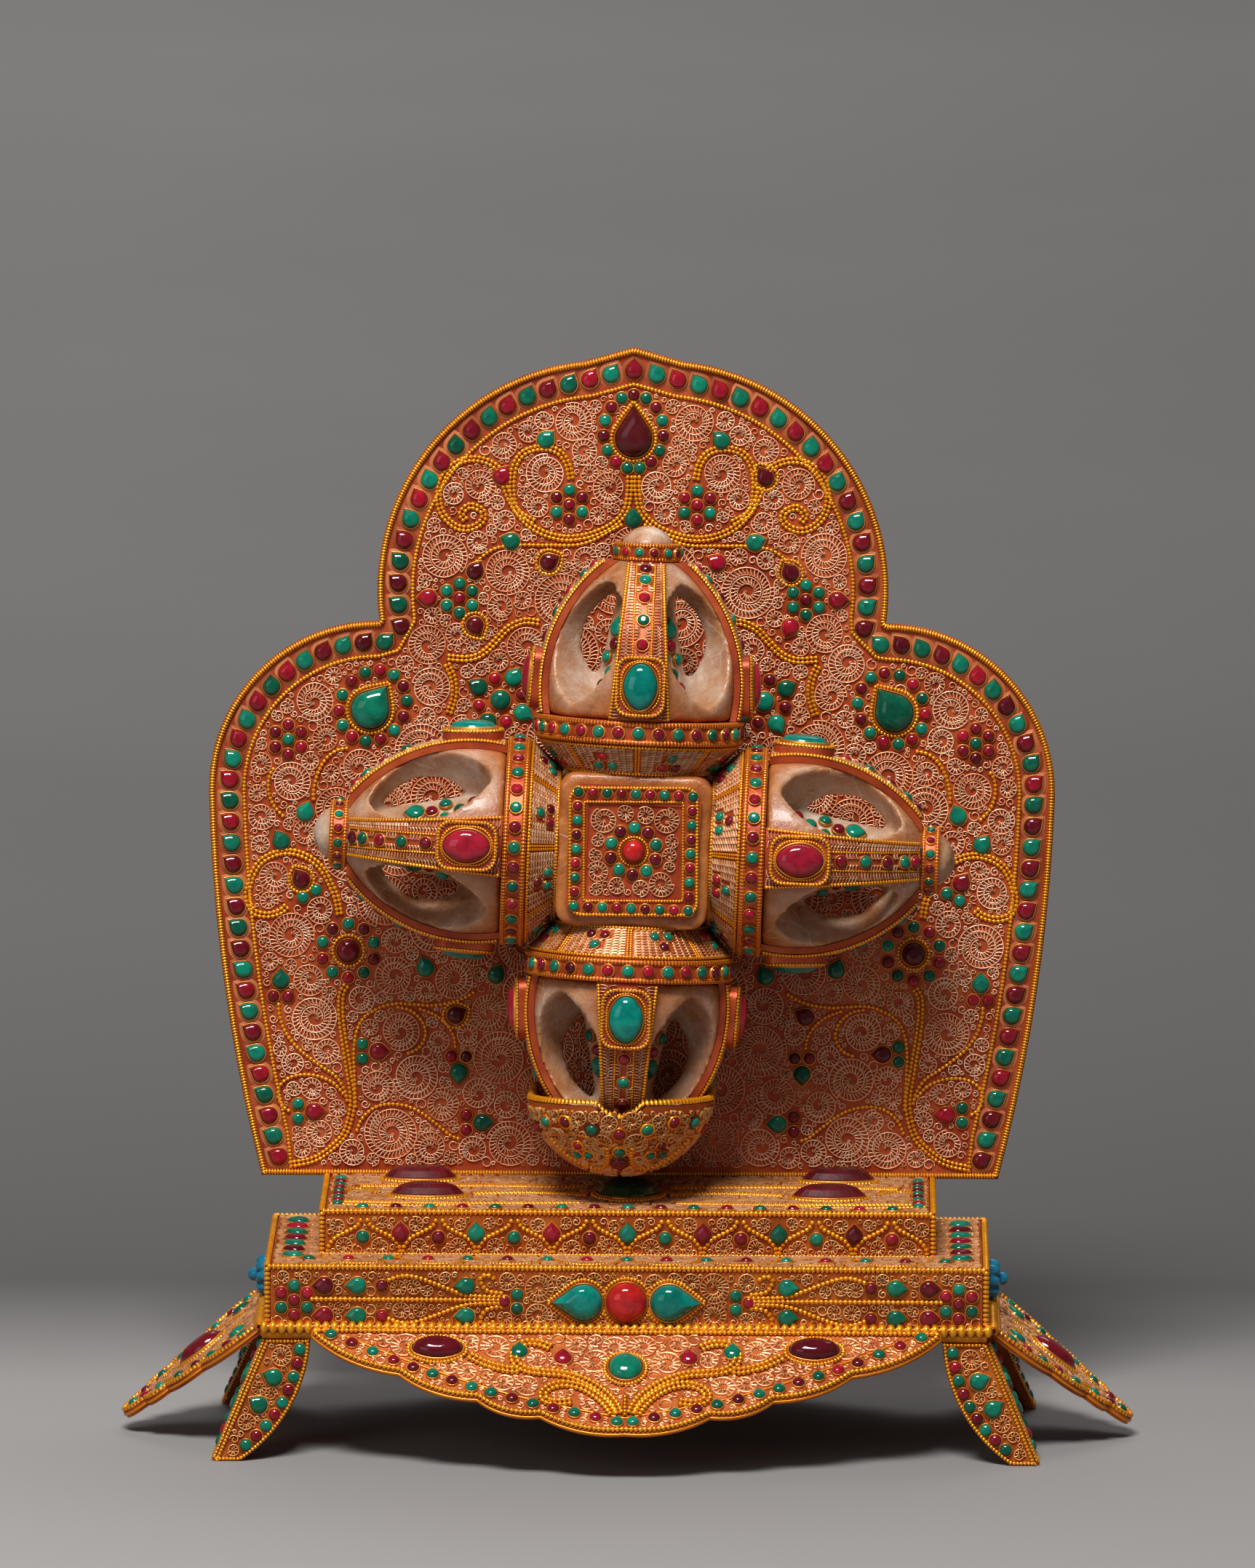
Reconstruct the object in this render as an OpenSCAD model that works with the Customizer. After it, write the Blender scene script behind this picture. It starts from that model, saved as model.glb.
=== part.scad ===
// Crossed vajra carved in rock crystal and dressed in filigree, standing in a cup
// on a stepped stand with a trefoil back plate, splayed legs and flared aprons.
// Millimetres, +Z up, front toward -Y, origin on the floor under the middle of the stand.

/* [Base tiers] */
// Width of the lower tier
tier_w = 211; // [200:1:230]
// Depth of the lower tier
tier_d = 80; // [76:1:95]
// Height of the lower tier
tier_h = 18; // [17:0.5:24]
// Width of the upper tier
upper_w = 180; // [170:1:190]
// Depth of the upper tier
upper_d = 61; // [57:1:68]
// Height of the upper tier
upper_h = 13; // [12:0.5:18]
// Thickness of the sheet that the tiers are folded from
sheet_t = 1.5; // [1:0.1:2.5]
// Diameter of the wire along the edges of the tiers
edge_d = 2; // [1.4:0.1:2.6]
// Height of the plinth frame under the lower tier
plinth_h = 3.5; // [3:0.1:5]
// How far the plinth frame stands out past the lower tier
plinth_out = 2; // [1:0.1:3]
// Width of the plinth frame, measured across its flat
plinth_flat = 14; // [8:0.5:20]

/* [Legs] */
// Height of the legs, floor to plinth
leg_h = 35.5; // [32:0.5:45]
// Width of each leg face at the plinth
leg_w = 13; // [12:0.5:16]
// Width of each leg face at the floor
foot_w = 7.5; // [6:0.5:10]
// How far the feet stand out sideways
leg_splay_x = 15; // [10:0.5:20]
// How far the feet stand out to the front and rear
leg_splay_y = 6; // [4:0.5:10]
// Bulge of the curved inner edge of a leg
leg_bow = 5; // [3:0.2:6]
// Thickness of the leg sheet
leg_t = 2; // [1.5:0.1:3]

/* [Aprons] */
// Slope of the aprons below level, in degrees
apron_slope = 38; // [30:1:45]
// Thickness of the apron sheet
apron_t = 2; // [1.5:0.1:3]
// Width of the front and rear aprons
front_apron_w = 184; // [160:1:186]
// Length of the front and rear aprons down their slope
front_apron_l = 39; // [34:0.5:44]
// Width of the side aprons
side_apron_w = 64; // [56:1:70]
// Length of the side aprons down their slope
side_apron_l = 52; // [44:0.5:56]
// Bulge of each scallop of an apron's edge
scallop = 2.4; // [1:0.1:3.5]

/* [Back plate] */
// Thickness of the back plate
plate_t = 3; // [2:0.1:4]
// Lean of the plate and the vajra to the rear, in degrees
plate_lean = 6; // [3:0.5:8]
// Width of the plate at its foot
plate_foot_w = 219; // [200:1:230]
// Radius of the top lobe's two side arcs
lobe_r = 68.4; // [62:0.2:74]
// Distance of each side arc's centre from the middle
lobe_off = 7.5; // [4:0.5:11]
// Height of the side arcs' centres up the plate
lobe_u = 174.7; // [168:0.1:180]
// Rise of the pointed crest above the side arcs
crest_rise = 3.8; // [2.4:0.2:8]
// Radius of the shoulder lobes
shoulder_r = 50.2; // [46:0.2:56]
// Distance of a shoulder lobe's centre from the middle
shoulder_x = 75.5; // [70:0.5:80]
// Height of the shoulder lobes' centres up the plate
shoulder_u = 115; // [108:1:122]
// Bulge of the plate's sides below the shoulders
side_bow = 3.3; // [1:0.1:6]
// Width of the wire along the plate's edge
rim_w = 2; // [1.4:0.1:2.6]
// Distance from the plate's edge to the inner wire
inner_wire_in = 9.8; // [9.4:0.1:12]
// Width of the inner wire
inner_wire_w = 1.4; // [1:0.1:2]
// Height of the two wires above the plate's face
wire_h = 1.5; // [1:0.1:2]

/* [Vajra] */
// Width and height of the crystal hub
hub_w = 45; // [43:0.5:50]
// Depth of the crystal hub
hub_d = 44; // [40:0.5:48]
// Corner radius of the hub
hub_round = 5; // [3:0.5:7]
// Radius of the crystal under the collars and bands
root_r = 20; // [17:0.5:21]
// Length of a filigree collar between the hub and a band
collar_l = 9; // [7:0.2:12]
// Width of the small stones on the collars
collar_stone_d = 3; // [2.4:0.1:3.2]
// Radius of a collar at the hub
collar_r = 21.5; // [21:0.1:22.4]
// Radius of a base band, without its stones
band_r = 30; // [29:0.2:32]
// Width of a base band
band_w = 7; // [6.4:0.2:9]
// Largest radius of a crystal head
cage_r = 28.5; // [27:0.2:30]
// Length of the pierced part of a head
cage_l = 46; // [43:0.5:50]
// Distance from the band to the widest part of the head
cage_bulge = 8; // [6:0.5:10]
// Radius of a head where it meets its neck
neck_r = 9.5; // [9:0.1:10.5]
// Half width of an opening between two ribs
almond_w = 12.5; // [11:0.2:13]
// Length of an opening between two ribs
almond_l = 36; // [32:0.5:37]
// Radius of the core inside a head at its foot
core_r1 = 15; // [13:0.2:16]
// Radius of the core inside a head at its top
core_r2 = 7; // [6:0.2:9]
// Length of a neck band
neck_l = 5.3; // [4.6:0.1:7]
// Radius of the crystal tip
tip_r = 7.75; // [7:0.05:8]
// Height of the crystal tip's dome
tip_h = 5; // [3:0.2:7]
// Thickness of the filigree straps on the ribs
strap_t = 1.8; // [1.2:0.1:2.4]
// Width of a strap at the band
strap_w1 = 18; // [15:0.5:19]
// Width of a strap at the neck
strap_w2 = 11; // [9:0.5:12]
// Height of the setting under a large oval stone
setting_h = 1.5; // [1:0.1:2]
// Size of a hub panel
panel_w = 38.5; // [37.5:0.5:42]
// Thickness of a hub panel
panel_t = 1.6; // [1:0.1:2.5]
// Distance of the vajra's middle from the face of the plate
vajra_off = 40; // [39.5:0.5:46]
// Height of the vajra's middle up the plate
vajra_u = 101; // [100:0.5:108]
// Tilt of the vajra to the right in its cup, in degrees
vajra_roll = 2.2; // [0:0.1:3]

/* [Cup] */
// Inside radius of the cup
cup_r = 25.8; // [25:0.1:27]
// Thickness of the cup's wall
cup_t = 2; // [1.5:0.1:2.5]
// Height of the rim above the lowest point inside
cup_rim = 22; // [20:0.2:23]
// Depth of the dip in the middle of the rim
cup_dip = 4; // [2:0.1:5]
// Thickness of the rim wire
cup_wire = 1.8; // [1.2:0.1:2.2]
// How far the cup sits to the left of the middle
cup_left = 2.4; // [0:0.1:4]

/* [Stones] */
// Diameter of the small round stones
round_d = 3.6; // [3:0.1:3.8]
// Height of the small round stones
round_h = 1.6; // [1.2:0.1:2]
// Width of the border drops
drop_w = 5.2; // [4.6:0.1:5.4]
// Length of the border drops
drop_l = 6.3; // [5.6:0.1:6.6]
// Height of the border drops
drop_h = 2; // [1.4:0.1:2.4]
// Width of the large oval stones on the ribs
oval_w = 10; // [8:0.5:11]
// Length of the large oval stones on the ribs
oval_l = 14; // [12:0.5:15]
// Height of the large oval stones
oval_h = 3.4; // [2.6:0.1:4]
// Spacing of the drops along the plate's border
drop_pitch = 6.4; // [6.2:0.1:8]
// Spacing of the stones around a base band
band_pitch = 6; // [5.6:0.1:8]

/* [Fits] */
// Gap between a stone and its seat, and between soldered pieces
seat = 0.1; // [0.05:0.01:0.15]
// Gap between the vajra's tip and the bottom of the cup
cup_play = 0.3; // [0.2:0.05:0.5]

/* [Hidden] */
$fn = 64;
plinth_z = leg_h;
tier_z = plinth_z + plinth_h;
upper_z = tier_z + tier_h;
top_z = upper_z + upper_h;
// The upper tier stands flush with the lower one at the rear
upper_y = (tier_d - upper_d) / 2;
upper_front = upper_y - upper_d / 2;
plinth_wide = tier_w + 2 * plinth_out;
plinth_deep = tier_d + 2 * plinth_out;
plate_y = tier_d / 2 - plate_t / cos(plate_lean);
shoulder_hw = shoulder_x + shoulder_r;
crest_a = acos(lobe_r / norm([lobe_off, lobe_r + crest_rise])) - atan2(lobe_off, lobe_r + crest_rise);
// Circle that bounds one side of the plate, from the foot to the shoulder
side_p = [plate_foot_w / 2, 0];
side_q = [shoulder_hw, shoulder_u];
side_chord = norm(side_q - side_p);
side_r = (side_chord * side_chord / 4 + side_bow * side_bow) / (2 * side_bow);
side_out = [side_q.y - side_p.y, side_p.x - side_q.x] / side_chord;
side_c = (side_p + side_q) / 2 - side_out * (side_r - side_bow);
border_in = (rim_w + inner_wire_in) / 2;
hub_half = hub_w / 2;
collar_pair_a = asin((collar_stone_d / 2 + 0.4) / collar_r);
band_at = hub_half + collar_l;
cage_at = band_at + band_w;
neck_at = cage_at + cage_l;
vajra_half = neck_at + neck_l + tip_h;
// Arc of a head's outline: its centre lies past the axis by ogive_off
ogive_run = cage_l - cage_bulge;
ogive_off = (ogive_run * ogive_run + neck_r * neck_r - cage_r * cage_r) / (2 * (cage_r - neck_r));
ogive_r = cage_r + ogive_off;
ogive_c = [-ogive_off, cage_bulge];
setting_w = oval_w + 5;
setting_l = oval_l + 4;
setting_at = 1.2 + setting_l / 2;
cup_zero = vajra_u - vajra_half - cup_play;
// Where the heads point: up, down, right, left
head_turn = [[0, 0, 0], [180, 0, 0], [0, 90, 0], [0, -90, 0]];

GREEN = "seagreen";
RED = "darkred";
CORAL = "crimson";
GILT = "goldenrod";
COPPER = "peru";
CRYSTAL = "wheat";

// Copies on both sides of the middle
module both_sides() {
  children();
  mirror([1, 0, 0]) children();
}

// Frame of the leaning plate: x across, y into the plate, z up the plate
module on_lean() {
  translate([0, plate_y, top_z]) rotate([-plate_lean, 0, 0]) children();
}

// A point on the plate's face, with z out of the face and y up the plate
module on_plate(x, u, turn = 0) {
  on_lean() translate([x, -seat, u]) rotate([90, 0, 0]) rotate([0, 0, turn]) children();
}

// Frame of the vajra, with its origin in the middle of the hub; it stands on its tip in the cup
module on_vajra() {
  on_cup() translate([0, 0, cup_play]) rotate([0, vajra_roll, 0]) translate([0, 0, vajra_half]) children();
}

// Frame of one head: z along the head, y across the front
module on_head(i) {
  on_vajra() rotate(head_turn[i]) children();
}

// A point on a front face of the tiers, with z out of the face
module on_front(x, y, z, turn = 0) {
  translate([x, y - seat, z]) rotate([90, 0, 0]) rotate([0, 0, turn]) children();
}

// Outline of a drop: a round end with two straight flanks to a point on +y, which cut into the round by c
module drop2d(r, a, c = 0.2) {
  t = acos(r / a);
  q = r - c;
  circle(r);
  polygon([[0, a], [-q * sin(t), q * cos(t)], [0, 0], [q * sin(t), q * cos(t)]]);
}

// Outline of an oval from four tangent arcs, long along y
module oval2d(w, l) {
  e = 0.36 * w;
  c = l / 2 - e;
  s = (w * w / 4 + c * c - e * e) / (w - 2 * e);
  t = c * s / (s - e);
  for (k = [-1, 1]) translate([0, k * c]) circle(e);
  intersection() {
    translate([s - w / 2, 0]) circle(s);
    translate([w / 2 - s, 0]) circle(s);
    square([w, 2 * t], center = true);
  }
}

// Sphere that domes a stone: it passes h above the seat in the middle and h - rise at distance a
module dome(a, h, rise) {
  r = (a * a + rise * rise) / (2 * rise);
  translate([0, 0, h - r]) sphere(r);
}

module round_stone(d = round_d, h = round_h) {
  intersection() {
    cylinder(d = d, h = h);
    dome(d / 2, h, 0.62 * h);
  }
}

module drop_stone(w = drop_w, l = drop_l, h = drop_h) {
  intersection() {
    linear_extrude(h) drop2d(w / 2, l - w / 2);
    dome(l - w / 2, h, 0.72 * h);
  }
}

module oval_stone(w = oval_w, l = oval_l, h = oval_h) {
  intersection() {
    linear_extrude(h) oval2d(w, l);
    dome(l / 2, h, 0.72 * h);
  }
}

// Faceted stone with a flat table, n sides, on a low girdle
module gem(d, h, n) {
  cylinder(d = d, h = 0.35 * h, $fn = n);
  translate([0, 0, 0.35 * h]) cylinder(d1 = d, d2 = 0.62 * d, h = 0.65 * h, $fn = n);
}

// Ring of n small stones, or every second one
module stone_ring(r, n, first = 0, step = 1) {
  for (k = [first:step:n - 1]) rotate([0, 0, 360 * k / n]) translate([0, r, 0]) round_stone();
}

// Base tiers

// Rods and corner balls along the edges of a box's top or foot
module edge_frame(w, d, r) {
  both_sides() translate([w / 2, 0, 0]) rotate([90, 0, 0]) cylinder(r = r, h = d, center = true);
  for (s = [-1, 1]) translate([0, s * d / 2, 0]) rotate([0, 90, 0]) cylinder(r = r, h = w, center = true);
  both_sides() for (s = [-1, 1]) translate([w / 2, s * d / 2, 0]) sphere(r);
}

module edge_posts(w, d, h, r) {
  both_sides() for (s = [-1, 1]) translate([w / 2, s * d / 2, 0]) cylinder(r = r, h = h);
}

module tier_wires(w, d, h, r) {
  translate([0, 0, h]) edge_frame(w, d, r);
  edge_posts(w, d, h, r);
}

module tier_box(w, d, h) {
  difference() {
    translate([-w / 2, -d / 2, 0]) cube([w, d, h]);
    translate([sheet_t + edge_d - w / 2, sheet_t + edge_d - d / 2, -1])
      cube([w - 2 * (sheet_t + edge_d), d - 2 * (sheet_t + edge_d), h - sheet_t - edge_d + 1]);
    tier_wires(w, d, h, edge_d / 2 + seat);
  }
}

module lower_tier() {
  color(COPPER) translate([0, 0, tier_z]) tier_box(tier_w, tier_d, tier_h);
}

module upper_tier() {
  color(COPPER) translate([0, upper_y, upper_z]) tier_box(upper_w, upper_d, upper_h);
}

module lower_edge_wires() {
  color(GILT) translate([0, 0, tier_z]) difference() {
    tier_wires(tier_w, tier_d, tier_h, edge_d / 2);
    // the upper tier and its rear wires rest on the flush rear edge
    translate([-upper_w / 2 - edge_d, tier_d / 2 - 2 * edge_d, tier_h])
      cube([upper_w + 2 * edge_d, 4 * edge_d, edge_d]);
  }
}

module upper_edge_wires() {
  color(GILT) translate([0, upper_y, upper_z]) difference() {
    tier_wires(upper_w, upper_d, upper_h, edge_d / 2);
    // the plate's foot stands on the flush rear edge
    translate([-plate_foot_w / 2, upper_d / 2 - 3 * plate_t, upper_h])
      cube([plate_foot_w, 6 * plate_t, edge_d]);
  }
}

module plinth_frame() {
  inner_w = plinth_wide - 2 * plinth_flat;
  inner_d = plinth_deep - 2 * plinth_flat;
  r = plinth_h / 2;
  color(GILT) translate([0, 0, plinth_z + r]) difference() {
    union() {
      edge_frame(plinth_wide - plinth_h, plinth_deep - plinth_h, r);
      cube([plinth_wide - plinth_h, plinth_deep - plinth_h, plinth_h], center = true);
    }
    cube([inner_w, inner_d, 2 * plinth_h], center = true);
  }
}

// Sheet that closes the box from below, inside the plinth frame
module base_floor() {
  w = plinth_wide - 2 * plinth_flat - 2 * seat;
  d = plinth_deep - 2 * plinth_flat - 2 * seat;
  color(COPPER) translate([-w / 2, -d / 2, tier_z - sheet_t]) cube([w, d, sheet_t]);
}

// Legs

// One face of a leg: splayed straight outer edge, bowed inner edge, x outward and y up
module leg_face2d(splay, run) {
  p = [-leg_w, 0];
  q = [splay - foot_w, -run];
  chord = norm(q - p);
  r = (chord * chord / 4 + leg_bow * leg_bow) / (2 * leg_bow);
  n = [p.y - q.y, q.x - p.x] / chord;
  c = (p + q) / 2 + n * (r - leg_bow);
  intersection() {
    translate(c) circle(r, $fn = 128);
    polygon([[0, 0], [splay, -run], [-3 * leg_w, -run], [-3 * leg_w, 0]]);
  }
}

// Face of a leg in space, with its outer side in the plane through the splayed corner
module leg_face(splay, lean) {
  a = atan2(lean, leg_h);
  rotate([90 - a, 0, 0]) translate([0, 0, -leg_t]) linear_extrude(leg_t) leg_face2d(splay, leg_h / cos(a));
}

// Point on a leg face at a distance in from the bowed edge, f from 0 at the plinth to 1 at the floor
module on_leg_face(splay, lean, f, inset) {
  a = atan2(lean, leg_h);
  run = leg_h / cos(a);
  p = [-leg_w, 0];
  q = [splay - foot_w, -run];
  chord = norm(q - p);
  r = (chord * chord / 4 + leg_bow * leg_bow) / (2 * leg_bow);
  n = [p.y - q.y, q.x - p.x] / chord;
  c = (p + q) / 2 + n * (r - leg_bow);
  a0 = atan2(p.y - c.y, p.x - c.x);
  a1 = atan2(q.y - c.y, q.x - c.x);
  g = a0 + ((a1 - a0 + 540) % 360 - 180) * f;
  rotate([90 - a, 0, 0]) translate([c.x + (r - inset) * cos(g), c.y + (r - inset) * sin(g), seat])
    rotate([0, 0, g + 90]) children();
}

// Corner of the front right leg at the plinth
module at_leg() {
  translate([plinth_wide / 2 - plinth_h / 2, plinth_h / 2 - plinth_deep / 2, plinth_z - seat]) children();
}

module right_leg() {
  intersection() {
    at_leg() {
      leg_face(leg_splay_x, leg_splay_y);
      mirror([1, 1, 0]) leg_face(leg_splay_y, leg_splay_x);
    }
    translate([0, -tier_d, 0]) cube([tier_w, tier_d, leg_h - seat]);
  }
}

module leg_stones(c) {
  n = 9;
  for (k = [c:2:n - 1]) {
    f = 0.08 + 0.82 * k / (n - 1);
    on_leg_face(leg_splay_x, leg_splay_y, f, round_d / 2 + 1) round_stone();
    mirror([1, 1, 0]) on_leg_face(leg_splay_y, leg_splay_x, f, round_d / 2 + 1) round_stone();
  }
  if (c == 0) for (f = [0.34, 0.6]) {
    on_leg_face(leg_splay_x, leg_splay_y, f, round_d + 4.6) drop_stone();
    mirror([1, 1, 0]) on_leg_face(leg_splay_y, leg_splay_x, f, round_d + 4.6) drop_stone();
  }
}

module on_all_legs() {
  both_sides() {
    at_leg() children();
    mirror([0, 1, 0]) at_leg() children();
  }
}

module front_right_leg() {
  color(COPPER) right_leg();
}

module front_left_leg() {
  color(COPPER) mirror([1, 0, 0]) right_leg();
}

module rear_right_leg() {
  color(COPPER) mirror([0, 1, 0]) right_leg();
}

module rear_left_leg() {
  color(COPPER) mirror([1, 0, 0]) mirror([0, 1, 0]) right_leg();
}

module leg_stones_green() {
  color(GREEN) on_all_legs() leg_stones(0);
}

module leg_stones_red() {
  color(RED) on_all_legs() leg_stones(1);
}

// Aprons

// Corners of the scalloped edge of one half, as shares of the half width and of the length
scallop_x = [0.99, 0.72, 0.47, 0.27, 0];
scallop_s = [0.08, 0.42, 0.67, 0.83, 1];

function apron_pt(w, l, k) = [scallop_x[k] * w / 2, -scallop_s[k] * l];

// Point along the straight line between two corners of the edge, and that line's outward direction
function apron_edge(w, l, k, f) = apron_pt(w, l, k) * (1 - f) + apron_pt(w, l, k + 1) * f;
function apron_out(w, l, k) =
  let (d = apron_pt(w, l, k + 1) - apron_pt(w, l, k)) [-d.y, d.x] / norm(d);

// Outline of an apron: its edge runs in scallops from the root to the point in the middle
module apron2d(w, l) {
  half = [for (k = [0:4]) apron_pt(w, l, k)];
  // the sheet inside the scallops, whose corners stay clear of their ends
  fill = [for (k = [0:4]) half[k] + [k == 4 ? 0 : -1, 0.5]];
  polygon(concat([[fill[0].x, 0], [-fill[0].x, 0]], [for (k = [0:3]) [-fill[k].x, fill[k].y]],
    [for (k = [4:-1:0]) fill[k]]));
  // each scallop stays in its own half
  for (s = [0, 1]) intersection() {
    translate([-s * w / 2, -2 * l]) square([w / 2, 2 * l]);
    union() {
      for (k = [0:3]) {
        chord = norm(half[k + 1] - half[k]);
        r = (chord * chord / 4 + scallop * scallop) / (2 * scallop);
        m = (half[k] + half[k + 1]) / 2 + apron_out(w, l, k) * (scallop - r);
        translate([(1 - 2 * s) * m.x, m.y]) circle(r, $fn = 96);
      }
    }
  }
}

module apron(w, l) {
  linear_extrude(apron_t) apron2d(w, l);
}

// How far the side aprons are tucked in under the plinth frame's edge, and lie below its middle
side_tuck = 0.5;
side_low = 1.6;

// Frame of an apron, z out of its upper face, on the side turned by a from the front
module on_apron(a) {
  out = a % 180 == 0 ? plinth_deep / 2 + seat : plinth_wide / 2 - side_tuck;
  z = plinth_z + plinth_h / 2 - (a % 180 == 0 ? 0 : side_low);
  rotate([0, 0, a]) translate([0, -out, z]) rotate([apron_slope, 0, 0]) children();
}

module front_apron() {
  color(COPPER) on_apron(0) apron(front_apron_w, front_apron_l);
}

module rear_apron() {
  color(COPPER) on_apron(180) apron(front_apron_w, front_apron_l);
}

module right_apron() {
  color(COPPER) on_apron(90) apron(side_apron_w, side_apron_l);
}

module left_apron() {
  color(COPPER) on_apron(270) apron(side_apron_w, side_apron_l);
}

// Stones of one colour in a row just inside the scalloped edge
module apron_row(w, l, c) {
  for (k = [0:3]) {
    chord = norm(apron_pt(w, l, k + 1) - apron_pt(w, l, k));
    n = max(1, floor(chord / (round_d + 2.4)));
    both_sides() for (j = [0:n - 1]) if ((j + k) % 2 == c) {
      m = apron_edge(w, l, k, (j + 0.5) / n) - apron_out(w, l, k) * (round_d / 2 + 1.2);
      translate([m.x, m.y, apron_t + seat]) round_stone();
    }
  }
}

module front_apron_stones(c) {
  apron_row(front_apron_w, front_apron_l, c);
  lift = apron_t + seat;
  if (c == 0) {
    translate([0, -0.38 * front_apron_l, lift]) round_stone(10, 3.6);
    both_sides() translate([0.17 * front_apron_w, -0.22 * front_apron_l, lift]) drop_stone();
  }
  if (c == 1) {
    both_sides() translate([0.3 * front_apron_w, -0.2 * front_apron_l, lift])
      rotate([0, 0, 90]) oval_stone(8, 15, 4);
    both_sides() translate([0.1 * front_apron_w, -0.28 * front_apron_l, lift]) drop_stone();
  }
}

module side_apron_stones(c) {
  apron_row(side_apron_w, side_apron_l, c);
  lift = apron_t + seat;
  if (c == 0) both_sides() translate([0.28 * side_apron_w, -0.16 * side_apron_l, lift]) drop_stone();
  if (c == 1) translate([0, -0.42 * side_apron_l, lift]) oval_stone(10, 15, 4);
}

module apron_stones(c) {
  for (a = [0, 180]) on_apron(a) front_apron_stones(c);
  for (a = [90, 270]) on_apron(a) side_apron_stones(c);
}

module apron_stones_green() {
  color(GREEN) apron_stones(0);
}

module apron_stones_red() {
  color(RED) apron_stones(1);
}

// Back plate

// Height of the crest's point over the side arcs' centres, for side arcs of radius r
function crest_over(r) = (r + lobe_off * sin(crest_a)) / cos(crest_a);

// Top lobe with side arcs of radius r and straight runs from them up to the crest
module lobe2d(r) {
  q = r - 1;
  x = lobe_off + q * sin(crest_a);
  y = lobe_u + q * cos(crest_a);
  for (s = [-1, 1]) translate([s * lobe_off, lobe_u]) circle(r, $fn = 128);
  polygon([[0, lobe_u + crest_over(r)], [-x, y], [-lobe_off, lobe_u], [lobe_off, lobe_u], [x, y]]);
}

// Trefoil outline with a pointed crest, drawn in by i
module plate2d(i = 0, foot = 0) {
  lobe2d(lobe_r - i);
  for (s = [-1, 1]) translate([s * shoulder_x, shoulder_u]) circle(shoulder_r - i, $fn = 128);
  translate([-shoulder_x, shoulder_u - 1]) square([2 * shoulder_x, shoulder_r + 1 - i]);
  intersection() {
    translate(side_c) circle(side_r - i, $fn = 360);
    translate([-side_c.x, side_c.y]) circle(side_r - i, $fn = 360);
    translate([-shoulder_hw, foot]) square([2 * shoulder_hw, shoulder_u - foot]);
  }
}

// Slab of the plate's outline, from depth y0 to depth y1 behind its face
module plate_slab(y0, y1) {
  translate([0, y1, 0]) rotate([90, 0, 0]) linear_extrude(y1 - y0) children();
}

// Everything below the top of the upper tier
module under_foot() {
  translate([-plate_foot_w, -tier_d, top_z - tier_d]) cube([2 * plate_foot_w, 2 * tier_d, tier_d]);
}

module back_plate() {
  color(COPPER) difference() {
    on_lean() plate_slab(0, plate_t) plate2d();
    under_foot();
  }
}

module plate_rim_wire() {
  color(GILT) difference() {
    on_lean() plate_slab(-wire_h - seat, -seat) difference() {
      plate2d();
      plate2d(rim_w, rim_w);
    }
    under_foot();
  }
}

// The inner wire goes over the crest and ends on the rim at the plate's foot
module plate_inner_wire() {
  color(GILT) on_lean() plate_slab(-wire_h - seat, -seat) difference() {
    plate2d(inner_wire_in, rim_w + seat);
    plate2d(inner_wire_in + inner_wire_w);
  }
}

// Points along one half of the border, each with the direction of its outward normal
function line_pts(p, q, n) =
  [for (k = [0:n - 1]) concat(p + (q - p) * (k + 0.5) / n, atan2(q.x - p.x, p.y - q.y))];
function arc_pts(c, r, a0, a1, n) =
  [for (k = [0:n - 1]) let (a = a0 + (a1 - a0) * (k + 0.5) / n) [c.x + r * cos(a), c.y + r * sin(a), a]];
function arc_count(r, a0, a1) = max(1, round(abs(a1 - a0) * r * PI / 180 / drop_pitch));

lobe_in = lobe_r - border_in;
shoulder_in = shoulder_r - border_in;
side_in = side_r - border_in;
lobe_gap = norm([shoulder_x - lobe_off, lobe_u - shoulder_u]);
lobe_dir = -atan2(lobe_u - shoulder_u, shoulder_x - lobe_off);
// Direction of the notch between the lobes, from the top lobe and from the shoulder
notch_a = lobe_dir + acos((lobe_gap * lobe_gap + lobe_in * lobe_in - shoulder_in * shoulder_in)
  / (2 * lobe_gap * lobe_in));
notch_b = lobe_dir + 180 - acos((lobe_gap * lobe_gap + shoulder_in * shoulder_in - lobe_in * lobe_in)
  / (2 * lobe_gap * shoulder_in));
side_a0 = asin((shoulder_u - side_c.y) / side_in);
side_a1 = asin((border_in - drop_pitch / 2 - side_c.y) / side_in);
crest_p = [0, lobe_u + crest_over(lobe_in)];
crest_q = [lobe_off + lobe_in * sin(crest_a), lobe_u + lobe_in * cos(crest_a)];
// The first place on the straight run is kept free for the drop at the crest
crest_r = crest_p + (crest_q - crest_p) * min(0.4, 0.55 * drop_pitch / norm(crest_q - crest_p));
border_half = concat(
  line_pts(crest_r, crest_q, max(1, round(norm(crest_q - crest_r) / drop_pitch))),
  arc_pts([lobe_off, lobe_u], lobe_in, 90 - crest_a, notch_a + 2,
    arc_count(lobe_in, 90 - crest_a, notch_a + 2)),
  arc_pts([shoulder_x, shoulder_u], shoulder_in, notch_b - 3, 0, arc_count(shoulder_in, notch_b - 3, 0)),
  arc_pts(side_c, side_in, side_a0, side_a1, arc_count(side_in, side_a0, side_a1)));

// Drops of one colour along the border, each with its point outward and toward the crest
module border_drops(c) {
  both_side_plate() for (k = [0:len(border_half) - 1]) if ((k + 1) % 2 == c) {
    b = border_half[k];
    translate([b.x, b.y, 0]) rotate([0, 0, b.z - 50]) translate([0, (drop_w - drop_l) / 2, 0]) drop_stone();
  }
}

// Plate's face, with z out of it, and its mirror image across the middle
module both_side_plate() {
  on_plate(0, 0) both_sides() children();
}

module border_drops_green() {
  color(GREEN) border_drops(1);
}

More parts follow.
